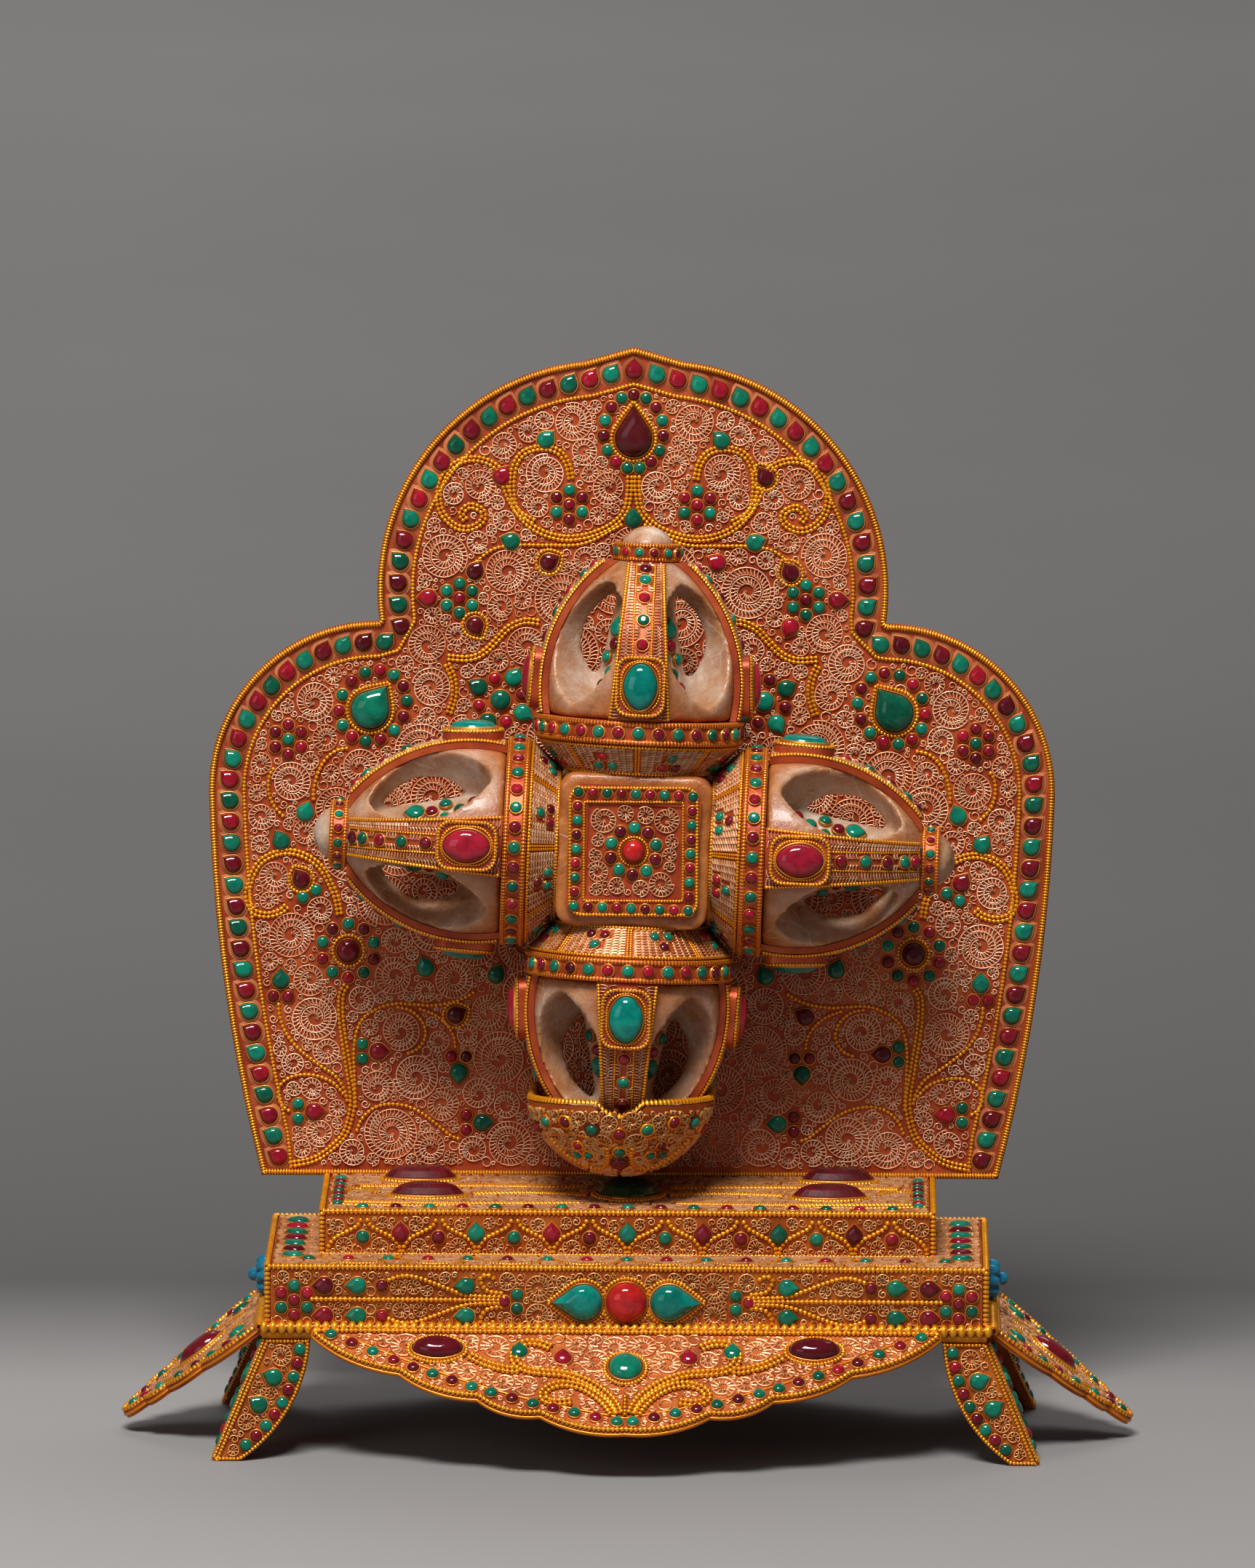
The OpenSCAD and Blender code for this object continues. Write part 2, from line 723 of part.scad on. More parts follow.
module border_drops_red() {
  color(RED) {
    border_drops(0);
    on_plate(crest_p.x, crest_p.y) translate([0, (drop_w - drop_l) / 2 - 0.4, 0]) drop_stone();
  }
}

// Room inside the inner wire, and how far from it the middle of each ornament beside it keeps
lobe_free = lobe_r - inner_wire_in - inner_wire_w;
shoulder_free = shoulder_r - inner_wire_in - inner_wire_w;
crest_clear = 13.6;
shoulder_clear = 14;
pear_clear = 6.5;
lobe_pear_clear = 5.6;
flower_clear = 8.6;
spray_clear = 13.2;

// A point at bearing a from straight up and distance r, from the middle of the lobe or of a shoulder
function lobe_point(a, r) = [r * sin(a), lobe_u + r * cos(a)];
function shoulder_point(a, r) = [shoulder_x + r * sin(a), shoulder_u + r * cos(a)];

// Ornaments of one half of the plate, as x, height up the plate and turn
crest_at = [0, lobe_u + crest_over(lobe_free) - crest_clear];
shoulder_at = shoulder_point(3.4, shoulder_free - shoulder_clear);
flower_at = [lobe_point(36.8, 0.463 * lobe_r), lobe_point(92.9, lobe_free + lobe_off - spray_clear),
  shoulder_point(61, shoulder_free - flower_clear)];
rosette_at = [84, 67];
star_at = lobe_point(130, 0.746 * lobe_r);
star_r = [7.5, 6.6];
star_turn = -15;
middle_at = lobe_point(0, 0.309 * lobe_r);
pears_green = [
  concat(lobe_point(30.4, lobe_free - lobe_pear_clear), 40),
  concat(lobe_point(68.3, 0.568 * lobe_r), -70),
  concat(shoulder_point(118.6, shoulder_free - pear_clear), -30),
  concat(shoulder_point(108, 0.45 * shoulder_r), 20),
  [61, 62, -20],
  [40, 60, 30]];
pears_red = [
  concat(lobe_point(49.3, lobe_free - lobe_pear_clear), 30),
  concat(lobe_point(71.7, 0.385 * lobe_r), 60),
  [52, 48, 60]];
trio_green = [[104, 58, 0], [51, 31, 180], [44, 16, 90]];
trio_red = [[98, 88, -30], [75, 37, 90], [94, 19, 90]];
// Colour of each flower's middle and of its six petals: 0 green, 1 red, 2 both in turn
flower_look = [[1, 2], [1, 0], [0, 1]];
crest_drop_w = 11;
crest_drop_l = 15.5;
shoulder_drop_w = 11.5;
shoulder_drop_l = 14.5;
shoulder_turn = 34;

module crest_drop() {
  color(RED) on_plate(crest_at.x, crest_at.y - 2) drop_stone(crest_drop_w, crest_drop_l, 4);
}

module shoulder_drops() {
  color(GREEN) both_side_plate() translate(concat(shoulder_at, 0)) rotate([0, 0, shoulder_turn])
    translate([0, -1.5, 0]) drop_stone(shoulder_drop_w, shoulder_drop_l, 4);
}

// Small stones around a large drop, every second one of n
module drop_ring(rx, ry, n, first) {
  for (k = [first:2:n - 1]) translate([rx * sin(360 * k / n), ry * cos(360 * k / n), 0]) round_stone();
}

// Two small stones at the round end of a drop
module trio_rounds() {
  for (s = [-1, 1]) translate([s * (round_d / 2 + 0.4), -drop_w / 2 - round_d / 2 - 0.3, 0]) round_stone();
}

module pears(list) {
  for (p = list) translate([p.x, p.y, 0]) rotate([0, 0, p.z]) drop_stone();
}

// Small stones around the crest drop, red and green in turn down both sides from its point
module crest_ring(c) {
  n = 15;
  rx = crest_drop_w / 2 + 3.4;
  ry = crest_drop_l / 2 + 3.2;
  for (k = [-7:7]) if (abs(k) % 2 == 1 - c)
    translate([rx * sin(360 * k / n), ry * cos(360 * k / n), 0]) round_stone();
}

module plate_stones(c) {
  on_plate(crest_at.x, crest_at.y) crest_ring(c);
  both_side_plate() {
    translate(concat(shoulder_at, 0)) rotate([0, 0, shoulder_turn])
      drop_ring(shoulder_drop_w / 2 + 3.8, shoulder_drop_l / 2 + 3.8, 14, c);
    for (k = [0:2]) translate(concat(flower_at[k], 0)) {
      if (flower_look[k][0] == c) round_stone();
      if (flower_look[k][1] == 2) stone_ring(round_d + 0.8, 6, c, 2);
      if (flower_look[k][1] == c) stone_ring(round_d + 0.8, 6);
    }
    translate(concat(flower_at[1], 0)) for (k = [0:2]) if (c == 1)
      rotate([0, 0, 120 * k + 30]) translate([0, 2 * round_d + 2, 0]) drop_stone();
    translate(concat(rosette_at, 0)) stone_ring(2 * round_d + 0.8, 10, c, 2);
    translate(concat(star_at, 0)) for (k = [0:3])
      rotate([0, 0, 90 * k + 45 * (1 - c) + star_turn]) translate([0, star_r[c], 0])
        if (c == 0) drop_stone(); else round_stone();
    pears(c == 0 ? pears_green : pears_red);
    pears(c == 0 ? trio_green : trio_red);
    for (p = c == 0 ? trio_red : trio_green) translate([p.x, p.y, 0]) rotate([0, 0, p.z]) trio_rounds();
  }
}

module plate_stones_green() {
  color(GREEN) {
    plate_stones(0);
    both_side_plate() translate(concat(star_at, 0)) round_stone(6, 2.6);
    on_plate(middle_at.x, middle_at.y) drop_stone();
  }
}

module plate_stones_red() {
  color(RED) {
    plate_stones(1);
    both_side_plate() translate(concat(rosette_at, 0)) round_stone(7, 3);
  }
}

// Cup

// Bowl shape of radius r: round in front, running straight back to the plate
module bowl(r) {
  translate([0, 0, cup_r]) {
    difference() {
      sphere(r, $fn = 96);
      translate([-2 * r, 0, -2 * r]) cube(4 * r);
    }
    rotate([-90, 0, 0]) cylinder(r = r, h = vajra_off - seat, $fn = 96);
  }
}

// Space above the rim, which dips in the middle and at the sides; low sets it lower all over
module above_rim(low = 0) {
  dip_r = cup_dip / 2 + 22 / cup_dip;
  translate([-2 * cup_r, -2 * cup_r, cup_rim - low]) cube([4 * cup_r, 2 * cup_r + 2 * vajra_off, 2 * cup_r]);
  translate([0, 0, cup_rim - cup_dip + dip_r]) rotate([90, 0, 0]) cylinder(r = dip_r + low, h = 2 * cup_r);
}

// Frame of the cup, with its origin at the lowest point inside
module on_cup() {
  on_lean() translate([-cup_left, -vajra_off, cup_zero]) children();
}

module vajra_cup() {
  color(COPPER) on_cup() difference() {
    bowl(cup_r + cup_t);
    bowl(cup_r);
    above_rim(cup_wire + seat);
    // open toward the plate
    translate([0, vajra_off - 1, cup_r]) rotate([-90, 0, 0]) cylinder(r = cup_r, h = 2);
  }
}

module cup_rim_wire() {
  color(GILT) on_cup() difference() {
    intersection() {
      bowl(cup_r + cup_t + 0.6);
      above_rim(cup_wire);
    }
    bowl(cup_r);
    above_rim(0);
    translate([0, vajra_off - 1, cup_r]) rotate([-90, 0, 0]) cylinder(r = cup_r, h = 2);
  }
}

// A point on the bowl's front, at a bearing from the middle and a slope below level
module on_bowl(bearing, slope) {
  on_cup() translate([0, 0, cup_r]) rotate([0, 0, bearing]) rotate([90 + slope, 0, 0])
    translate([0, 0, cup_r + cup_t + seat]) children();
}

cup_row = [for (k = [-4:4]) k * 19];

module cup_stones_green() {
  color(GREEN) {
    for (k = [0:8]) if (k % 2 == 1) on_bowl(cup_row[k], 26 + 4 * cos(4 * cup_row[k])) round_stone();
    for (b = [-34, 34]) for (s = [-6, 6]) on_bowl(b + s, 47) round_stone(2.8);
    on_bowl(0, 44) round_stone();
  }
}

module cup_stones_red() {
  color(RED) {
    for (k = [0:8]) if (k % 2 == 0) on_bowl(cup_row[k], 26 + 4 * cos(4 * cup_row[k])) round_stone();
    for (b = [-34, 34]) on_bowl(b, 39) round_stone(2.8);
    on_bowl(0, 54) rotate([0, 0, 180]) drop_stone();
  }
}

// Stones of the tiers

front_y = -tier_d / 2;
front_mid = tier_z + (tier_h - edge_d) / 2;
coral_d = 12;
front_drop_w = 11;
front_drop_l = 15;

module front_coral() {
  color(CORAL) on_front(0, front_y, front_mid) round_stone(coral_d, 5);
}

module front_drops() {
  x = coral_d / 2 + front_drop_w / 2 + 1;
  color(GREEN) for (s = [-1, 1]) on_front(s * x, front_y, front_mid, -90 * s)
    drop_stone(front_drop_w, front_drop_l, 4.6);
}

// Both halves of the lower tier's front
module lower_front(c) {
  step = tier_h / 4;
  for (s = [-1, 1]) {
    on_front(s * (tier_w / 2 - 8), front_y, front_mid) {
      stone_ring(round_d + 0.8, 6, c, 2);
      if (c == 1) round_stone();
    }
    if (c == 0) for (e = [-1, 1]) {
      on_front(s * 0.152 * tier_w, front_y, front_mid + e * (round_d / 2 + 0.3)) round_stone();
      on_front(s * 0.223 * tier_w, front_y, front_mid + e * step, -90 * s) drop_stone();
      on_front(s * 0.374 * tier_w, front_y, front_mid + e * step, -90 * s) drop_stone();
    }
    if (c == 1) for (e = [-1, 1]) {
      on_front(s * 0.42 * tier_w, front_y, front_mid + e * step, -90 * s) drop_stone();
      on_front(s * 0.34 * tier_w, front_y, front_mid + e * step) round_stone();
    }
    if (c == 1) on_front(s * (0.152 * tier_w + round_d + 0.2), front_y, front_mid) round_stone();
  }
}

// Rounds under the arches and drops between them on the upper tier's front
module upper_front_stones(c) {
  n = 8;
  pitch = (upper_w - 2) / n;
  for (k = [c:2:n - 1])
    on_front((k + 0.5 - n / 2) * pitch, upper_front, upper_z + 0.42 * upper_h) round_stone(4, 1.8);
  for (k = [2 - c:2:n - 1])
    on_front((k - n / 2) * pitch, upper_front, upper_z + 0.5 * upper_h) drop_stone();
}

// Rows along the edges of the upper tier's top and on the lower tier's side ledges
module top_rows(c) {
  n = 2 * floor((upper_w - 24) / 18) + 1;
  for (k = [c:2:n - 1])
    translate([(k / (n - 1) - 0.5) * (upper_w - 24), upper_front + 4.4, top_z + seat]) round_stone();
  m = floor((upper_d - 16) / 5);
  both_sides() for (k = [c:2:m - 1])
    translate([upper_w / 2 - 4.4, upper_front + 9 + 5 * k, top_z + seat]) round_stone();
  ledge = (tier_w - upper_w) / 2;
  j = floor((tier_d - 14) / 9);
  both_sides() for (k = [c:2:j - 1])
    translate([(upper_w + ledge) / 2, 9 * (k + 0.5 - j / 2), upper_z + seat]) rotate([0, 0, -90])
      drop_stone(0.36 * ledge, 0.43 * ledge, 0.14 * ledge);
  q = 2 * floor(tier_w / 26) + 1;
  for (k = [c:2:q - 1])
    translate([(k / (q - 1) - 0.5) * (tier_w - 24), (front_y + upper_front) / 2, upper_z + seat])
      round_stone();
}

module tier_stones_green() {
  color(GREEN) {
    lower_front(0);
    upper_front_stones(0);
    top_rows(0);
  }
}

module tier_stones_red() {
  color(RED) {
    lower_front(1);
    upper_front_stones(1);
    top_rows(1);
  }
}

gem_d = 19;

module top_green_gem() {
  color("darkgreen") translate([0, upper_front + 0.42 * upper_d, top_z + seat]) gem(gem_d, 5, 12);
}

// Long faceted stones, two in front and two close to the plate
module top_red_gems() {
  color(RED) both_sides() for (f = [0.36, 0.8])
    translate([0.34 * upper_w + 6 * f - 4, upper_front + f * upper_d, top_z + seat]) rotate([0, 0, 90]) {
      linear_extrude(1.6) oval2d(9, 21);
      translate([0, 0, 1.6]) intersection() {
        linear_extrude(3) oval2d(9, 21);
        dome(10.5, 3, 2.4);
      }
    }
}

// Carved flower stone in the middle of each side of the lower tier
module side_flowers() {
  color("teal") both_sides() translate([tier_w / 2 + seat, 0, front_mid]) rotate([0, 90, 0]) {
    for (k = [0:7]) rotate([0, 0, 45 * k]) translate([4, 0, 0]) cylinder(r = 2, h = 2.6);
    cylinder(r = 4, h = 3);
    translate([0, 0, 3]) round_stone(4.5, 1.2);
  }
}

// Vajra

module crystal_hub() {
  c = hub_half - hub_round;
  color(CRYSTAL) on_vajra() rotate([90, 0, 0]) translate([0, 0, -hub_d / 2]) linear_extrude(hub_d) union() {
    square([hub_w, 2 * c], center = true);
    square([2 * c, hub_w], center = true);
    for (i = [-1, 1]) for (j = [-1, 1]) translate([i * c, j * c]) circle(hub_round);
  }
}

// Half outline of a head's pierced part, swollen by e
module ogive2d(e = 0) {
  intersection() {
    translate(ogive_c) circle(ogive_r + e, $fn = 180);
    square([2 * cage_r, cage_l]);
  }
}

// Pointed opening between two ribs
module almond2d() {
  r = (almond_w * almond_w + almond_l * almond_l / 4) / (2 * almond_w);
  intersection() {
    translate([r - almond_w, 0]) circle(r, $fn = 96);
    translate([almond_w - r, 0]) circle(r, $fn = 96);
  }
}

// One head: a root inside the collar and band, a pierced cage of four ribs around a core, and a domed tip
module crystal_head() {
  translate([0, 0, hub_half + seat]) cylinder(r = root_r, h = collar_l + band_w - seat);
  translate([0, 0, cage_at]) {
    difference() {
      rotate_extrude($fn = 128) ogive2d();
      for (a = [45, 135]) rotate([0, 0, a]) translate([0, 0, cage_l / 2 - 1]) rotate([90, 0, 0])
        linear_extrude(4 * cage_r, center = true) almond2d();
    }
    cylinder(r1 = core_r1, r2 = core_r2, h = cage_l - 4);
  }
  translate([0, 0, neck_at]) {
    cylinder(r = tip_r, h = neck_l);
    translate([0, 0, neck_l]) intersection() {
      cylinder(r = tip_r, h = tip_h);
      dome(tip_r, tip_h, tip_h);
    }
  }
}

module crystal_head_top() {
  color(CRYSTAL) on_head(0) crystal_head();
}

module crystal_head_bottom() {
  color(CRYSTAL) on_head(1) crystal_head();
}

module crystal_head_right() {
  color(CRYSTAL) on_head(2) crystal_head();
}

module crystal_head_left() {
  color(CRYSTAL) on_head(3) crystal_head();
}

// Conical collar between the hub and the band, open over the crystal root
module filigree_collars() {
  color(COPPER) for (i = [0:3]) on_head(i) translate([0, 0, hub_half + seat]) rotate_extrude($fn = 96)
    polygon([[root_r + seat, 0], [collar_r, 0], [band_r - 0.6, collar_l - 2 * seat],
      [root_r + seat, collar_l - 2 * seat]]);
}

// Band with a beaded wire along each edge
module base_bands() {
  color(COPPER) for (i = [0:3]) on_head(i) translate([0, 0, band_at]) rotate_extrude($fn = 96) {
    translate([root_r + seat, 0]) square([band_r - root_r - seat, band_w - seat]);
    for (z = [0.8, band_w - seat - 0.8]) translate([band_r, z]) circle(0.8, $fn = 24);
  }
}

module neck_bands() {
  color(COPPER) for (i = [0:3]) on_head(i) translate([0, 0, neck_at + seat]) rotate_extrude($fn = 64) {
    translate([tip_r + seat, 0]) square([neck_r - tip_r - seat, neck_l - seat]);
    for (z = [0.6, neck_l - seat - 0.6]) translate([neck_r - 0.2, z]) circle(0.6, $fn = 24);
  }
}

// Filigree strap along the outside of one rib, on +x of a head
module rib_strap() {
  intersection() {
    rotate_extrude($fn = 128) difference() {
      intersection() {
        translate(ogive_c) circle(ogive_r + strap_t, $fn = 180);
        translate([0, seat]) square([2 * cage_r, cage_l - 2 * seat]);
      }
      translate(ogive_c) circle(ogive_r + seat, $fn = 180);
      square([neck_r + 0.4, cage_l]);
    }
    rotate([90, 0, 90]) linear_extrude(2 * cage_r)
      polygon([[-strap_w1 / 2, 0], [strap_w1 / 2, 0], [strap_w2 / 2, cage_l], [-strap_w2 / 2, cage_l]]);
  }
}

module on_ribs(i) {
  for (a = [0:90:270]) on_head(i) translate([0, 0, cage_at]) rotate([0, 0, a]) children();
}

// A point on the outside of a strap at height t on the head, with z outward and y along the rib
module on_strap(t) {
  a = asin((t - cage_bulge) / ogive_r);
  translate([-ogive_off, 0, cage_bulge]) rotate([0, -a, 0]) translate([ogive_r + strap_t + seat, 0, 0])
    rotate([90, 0, 90]) children();
}

module rib_straps() {
  color(COPPER) for (i = [0:3]) on_ribs(i) rib_strap();
}

// Raised setting under a large oval stone, hollowed to the curve of the strap
module oval_setting() {
  c = 4;
  difference() {
    on_strap(setting_at) translate([0, 0, -2]) linear_extrude(setting_h + 2) union() {
      square([setting_w, setting_l - 2 * c], center = true);
      square([setting_w - 2 * c, setting_l], center = true);
      for (x = [-1, 1]) for (y = [-1, 1])
        translate([x * (setting_w / 2 - c), y * (setting_l / 2 - c)]) circle(c);
    }
    rotate_extrude($fn = 128) intersection() {
      translate(ogive_c) circle(ogive_r + strap_t + seat, $fn = 180);
      translate([0, -cage_l]) square([2 * cage_r, 3 * cage_l]);
    }
  }
}

module oval_settings() {
  color(COPPER) for (i = [0:3]) on_ribs(i) oval_setting();
}

// Ovals on the ribs: the front and rear ribs of the upright heads match the side ribs of the level heads
module ovals(upright, level) {
  for (i = [0:3]) for (a = i < 2 ? upright : level) on_head(i) translate([0, 0, cage_at]) rotate([0, 0, a])
    on_strap(setting_at) translate([0, 0, setting_h + seat]) oval_stone();
}

module oval_stones_green() {
  color(GREEN) ovals([90, 270], [0, 180]);
}

module oval_stones_red() {
  color(RED) ovals([0, 180], [90, 270]);
}

// Row of five small stones up each strap, between the setting and the neck
module strap_row(c) {
  t0 = setting_at + setting_l / 2 + round_d / 2 + 0.8;
  t1 = cage_l - round_d / 2 - 1.6;
  for (i = [0:3]) on_ribs(i) for (k = [c:2:4])
    on_strap(t0 + (t1 - t0) * sin(18.45 * k) / sin(73.8)) round_stone();
}

module strap_stones_green() {
  color(GREEN) strap_row(1);
}

module strap_stones_red() {
  color(RED) strap_row(0);
}

module on_hub_faces() {
  for (a = [0, 180]) on_vajra() rotate([0, 0, a]) translate([0, -hub_d / 2 - seat, 0])
    rotate([90, 0, 0]) children();
}

// Square filigree panel with a sunk middle, on the front and the rear of the hub
module hub_panels() {
  c = 4;
  h = panel_w / 2 - c;
  m = panel_w / 2 - round_d - 2;
  color(COPPER) on_hub_faces() difference() {
    linear_extrude(panel_t) union() {
      square([panel_w, 2 * h], center = true);
      square([2 * h, panel_w], center = true);
      for (i = [-1, 1]) for (j = [-1, 1]) translate([i * h, j * h]) circle(c);
    }
    translate([-m, -m, panel_t - 0.6]) cube([2 * m, 2 * m, 1]);
  }
}

module hub_corals() {
  color(CORAL) on_hub_faces() translate([0, 0, panel_t - 0.6 + seat]) round_stone(6.6, 3);
}

module hub_stones(c) {
  s = panel_w / 2 - round_d / 2 - 0.6;
  pitch = 2 * s / 8;
  on_hub_faces() {
    translate([0, 0, panel_t + seat]) for (a = [0:90:270]) rotate([0, 0, a])
      for (k = [c:2:7]) translate([k * pitch - s, s, 0]) round_stone(3);
    translate([0, 0, panel_t - 0.6 + seat]) stone_ring(6.9, 10, c, 2);
  }
}

module hub_stones_green() {
  color(GREEN) hub_stones(0);
}

module hub_stones_red() {
  color(RED) hub_stones(1);
}

// A point on a collar at bearing b, a share f of the way out from the hub
module on_collar(b, f) {
  rise = band_r - 0.6 - collar_r;
  rotate([0, 0, b]) translate([collar_r + f * rise, 0, hub_half + seat + f * (collar_l - 2 * seat)])
    rotate([0, 90 + atan2(rise, collar_l - 2 * seat), 0]) translate([0, 0, seat]) children();
}

// Three small stones in each of the eight fields of a collar, one of a colour and two of the other
module collar_trios(c) {
  for (k = [0:7]) {
    b = 45 * k + 22.5;
    if (k % 2 == c) on_collar(b, 0.62) round_stone(collar_stone_d, 1.4);
    else for (s = [-1, 1]) on_collar(b + s * collar_pair_a, 0.3) round_stone(collar_stone_d, 1.4);
  }
}

// Stones around the base bands and the neck bands and on the collars
module band_stones(c) {
  n = 2 * round(PI * band_r / band_pitch);
  m = 14;
  for (i = [0:3]) on_head(i) {
    collar_trios(c);
    for (k = [c:2:n - 1]) rotate([0, 0, 360 * k / n])
      translate([band_r + seat, 0, band_at + (band_w - seat) / 2]) rotate([0, 90, 0]) round_stone();
    for (k = [c:2:m - 1]) rotate([0, 0, 360 * k / m])
      translate([neck_r + seat, 0, neck_at + (neck_l + seat) / 2]) rotate([0, 90, 0]) round_stone(2.6, 1.2);
  }
}

module band_stones_green() {
  color(GREEN) band_stones(0);
}

module band_stones_red() {
  color(RED) band_stones(1);
}

// A point on the core inside a head at height t, in the opening at bearing b
module on_core(b, t, side) {
  slope = atan2(core_r1 - core_r2, cage_l - 4);
  r = core_r1 - (core_r1 - core_r2) * t / (cage_l - 4);
  rotate([0, 0, b + side * 180 / PI / r]) translate([r + 3 * seat, 0, t]) rotate([0, 90 - slope, 0])
    rotate([0, 0, 90]) children();
}

// Cluster of small stones in every opening of every head
module core_stones(c) {
  for (i = [0:3]) for (b = [45:90:315]) on_head(i) translate([0, 0, cage_at]) {
    if (c == 0) {
      on_core(b, 13, 0) round_stone();
      for (s = [-1, 1]) on_core(b, 17.4, s * 2.6) round_stone();
      on_core(b, 26, 0) drop_stone();
    }
    if (c == 1) {
      for (s = [-1, 1]) on_core(b, 9, s * 2.6) round_stone();
      on_core(b, 21.4, 0) round_stone();
    }
  }
}

module core_stones_green() {
  color(GREEN) core_stones(0);
}

module core_stones_red() {
  color(RED) core_stones(1);
}

lower_tier();
upper_tier();
base_floor();
plinth_frame();
lower_edge_wires();
upper_edge_wires();
front_apron();
rear_apron();
left_apron();
right_apron();
front_left_leg();
front_right_leg();
rear_left_leg();
rear_right_leg();
back_plate();
plate_rim_wire();
plate_inner_wire();
border_drops_green();
border_drops_red();
crest_drop();
shoulder_drops();
plate_stones_green();
plate_stones_red();
vajra_cup();
cup_rim_wire();
cup_stones_green();
cup_stones_red();
front_coral();
front_drops();
tier_stones_green();
tier_stones_red();
top_green_gem();
top_red_gems();
side_flowers();
apron_stones_green();
apron_stones_red();
leg_stones_green();
leg_stones_red();
crystal_hub();
crystal_head_top();
crystal_head_bottom();
crystal_head_right();
crystal_head_left();
filigree_collars();
base_bands();
neck_bands();
rib_straps();
oval_settings();
oval_stones_green();
oval_stones_red();
hub_panels();
hub_corals();
hub_stones_green();
hub_stones_red();
band_stones_green();
band_stones_red();
strap_stones_green();
strap_stones_red();
core_stones_green();
core_stones_red();
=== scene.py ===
"""Looks of the crossed crystal vajra on its filigree stand. Lengths are millimetres until a mesh is made."""

import math

import bpy
import numpy as np
from mathutils import Matrix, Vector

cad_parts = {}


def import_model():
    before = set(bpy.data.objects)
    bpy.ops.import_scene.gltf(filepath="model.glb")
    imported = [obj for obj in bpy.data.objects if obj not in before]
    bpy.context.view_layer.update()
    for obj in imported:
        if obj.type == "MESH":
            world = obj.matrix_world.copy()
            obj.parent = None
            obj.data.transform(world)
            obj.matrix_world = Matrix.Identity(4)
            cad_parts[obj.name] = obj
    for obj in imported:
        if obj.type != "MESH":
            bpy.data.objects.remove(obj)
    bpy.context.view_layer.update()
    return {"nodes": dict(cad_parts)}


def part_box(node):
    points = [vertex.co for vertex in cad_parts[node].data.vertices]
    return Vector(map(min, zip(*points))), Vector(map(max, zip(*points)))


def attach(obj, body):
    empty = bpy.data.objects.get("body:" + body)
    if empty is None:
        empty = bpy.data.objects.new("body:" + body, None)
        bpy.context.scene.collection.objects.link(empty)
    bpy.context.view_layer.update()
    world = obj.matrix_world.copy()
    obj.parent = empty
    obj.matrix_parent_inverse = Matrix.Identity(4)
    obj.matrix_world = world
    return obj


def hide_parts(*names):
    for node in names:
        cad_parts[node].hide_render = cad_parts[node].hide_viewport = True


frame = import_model()

MM = 0.001
rng = np.random.default_rng(11)

# Sizes that repeat the part's
ROLL = math.radians(2.2)
VAJRA_HALF = 94.8
CUP_PLAY = 0.3
CUP_R = 25.8
CUP_OUT = 27.8
CUP_RIM = 22.0
CUP_DIP = 4.0
CUP_RUN = 39.9
HUB_HALF = 22.5
COLLAR_R = 21.5
COLLAR_L = 9.0
BAND_R = 30.0
BAND_AT = 31.5
BAND_W = 6.9
CAGE_AT = 38.5
CAGE_L = 46.0
OGIVE_X = -19.0
OGIVE_Z = 8.0
OGIVE_R = 47.5
STRAP_T = 1.8
STRAP_FOOT = 18.0
STRAP_TIP = 11.0
SETTING_W = 15.0
SETTING_L = 18.0
SETTING_AT = 10.2
SETTING_T = 1.5
NECK_R = 9.5
NECK_AT = 84.5
NECK_L = 5.3
PANEL_W = 38.5
RIM_W = 2.0
INNER_WIRE = 10.5

# Radius of the beads and their pitch, by the wire they make
PLATE_RIM = (0.95, 0.85)
PLATE_REAR = (0.95, 0.95)
PLATE_INNER = (0.68, 1.12)
PLATE_STEM = (0.64, 1.3)
ARCH_LINE = (0.78, 1.4)
FRONT_LINE = (0.8, 1.4)
TOP_LINE = (0.62, 1.2)
SCALLOP_LINE = (0.5, 1.0)
LEDGE_LINE = (0.55, 1.1)
APRON_EDGE = (0.78, 1.35)
APRON_LINE = (0.85, 1.45)
APRON_SIDE_LINE = (0.5, 0.98)
LEG_EDGE = (0.6, 1.05)
TIER_EDGE = (1.0, 1.35)
CUP_LOBE = (0.8, 1.3)
CUP_EDGE = (1.25, 1.35)
STRAP_EDGE = (0.6, 0.95)
STRAP_MIDDLE = (0.38, 0.8)
OVAL_EDGE = (0.42, 0.8)
COLLAR_FOOT = (0.6, 0.95)
COLLAR_HEAD = (0.5, 0.95)
COLLAR_POST = (0.42, 0.85)
BAND_EDGE = (0.92, 1.05)
NECK_EDGE = (0.7, 0.95)
PANEL_EDGE = (0.6, 0.95)
PANEL_INNER = (0.42, 0.85)
CORAL_RING = (0.45, 0.85)

# Fine work
WIRE_HALF = 0.26
WIRE_HIGH = 0.8
WIRE_SINK = 0.15
# Tone of a wire at foot, ridge and foot: its least value, which paints shade at the feet and a highlight on
# the ridge, and how far it varies from wire to wire
WIRE_PAINTED_SHADING = np.array([0.0, 0.6, 0.0])
WIRE_SPREAD = np.array([0.1, 0.5, 0.1])
HOOK_PITCH = 1.3
CURL_BELOW = 1.45
HOOK = np.array([(0, 0), (0.05, 0.42), (0.26, 0.76), (0.56, 0.84), (0.74, 0.64), (0.56, 0.48)])
BEAD_ANGLES = np.radians([-20, 35, 90, 145, 200])
BEAD_SWELL = np.array([0.42, 1.0, 0.94])
# Tone of a bead at its valley, its front and its back: painted shade in the valley between beads and painted
# light on the bead
BEAD_PAINTED_SHADING = np.array([0.0, 0.75, 0.6])
BEAD_SPREAD = 0.25


def unit(v):
    """Vectors of length one."""
    return v / np.maximum(np.linalg.norm(v, axis=-1, keepdims=True), 1e-9)


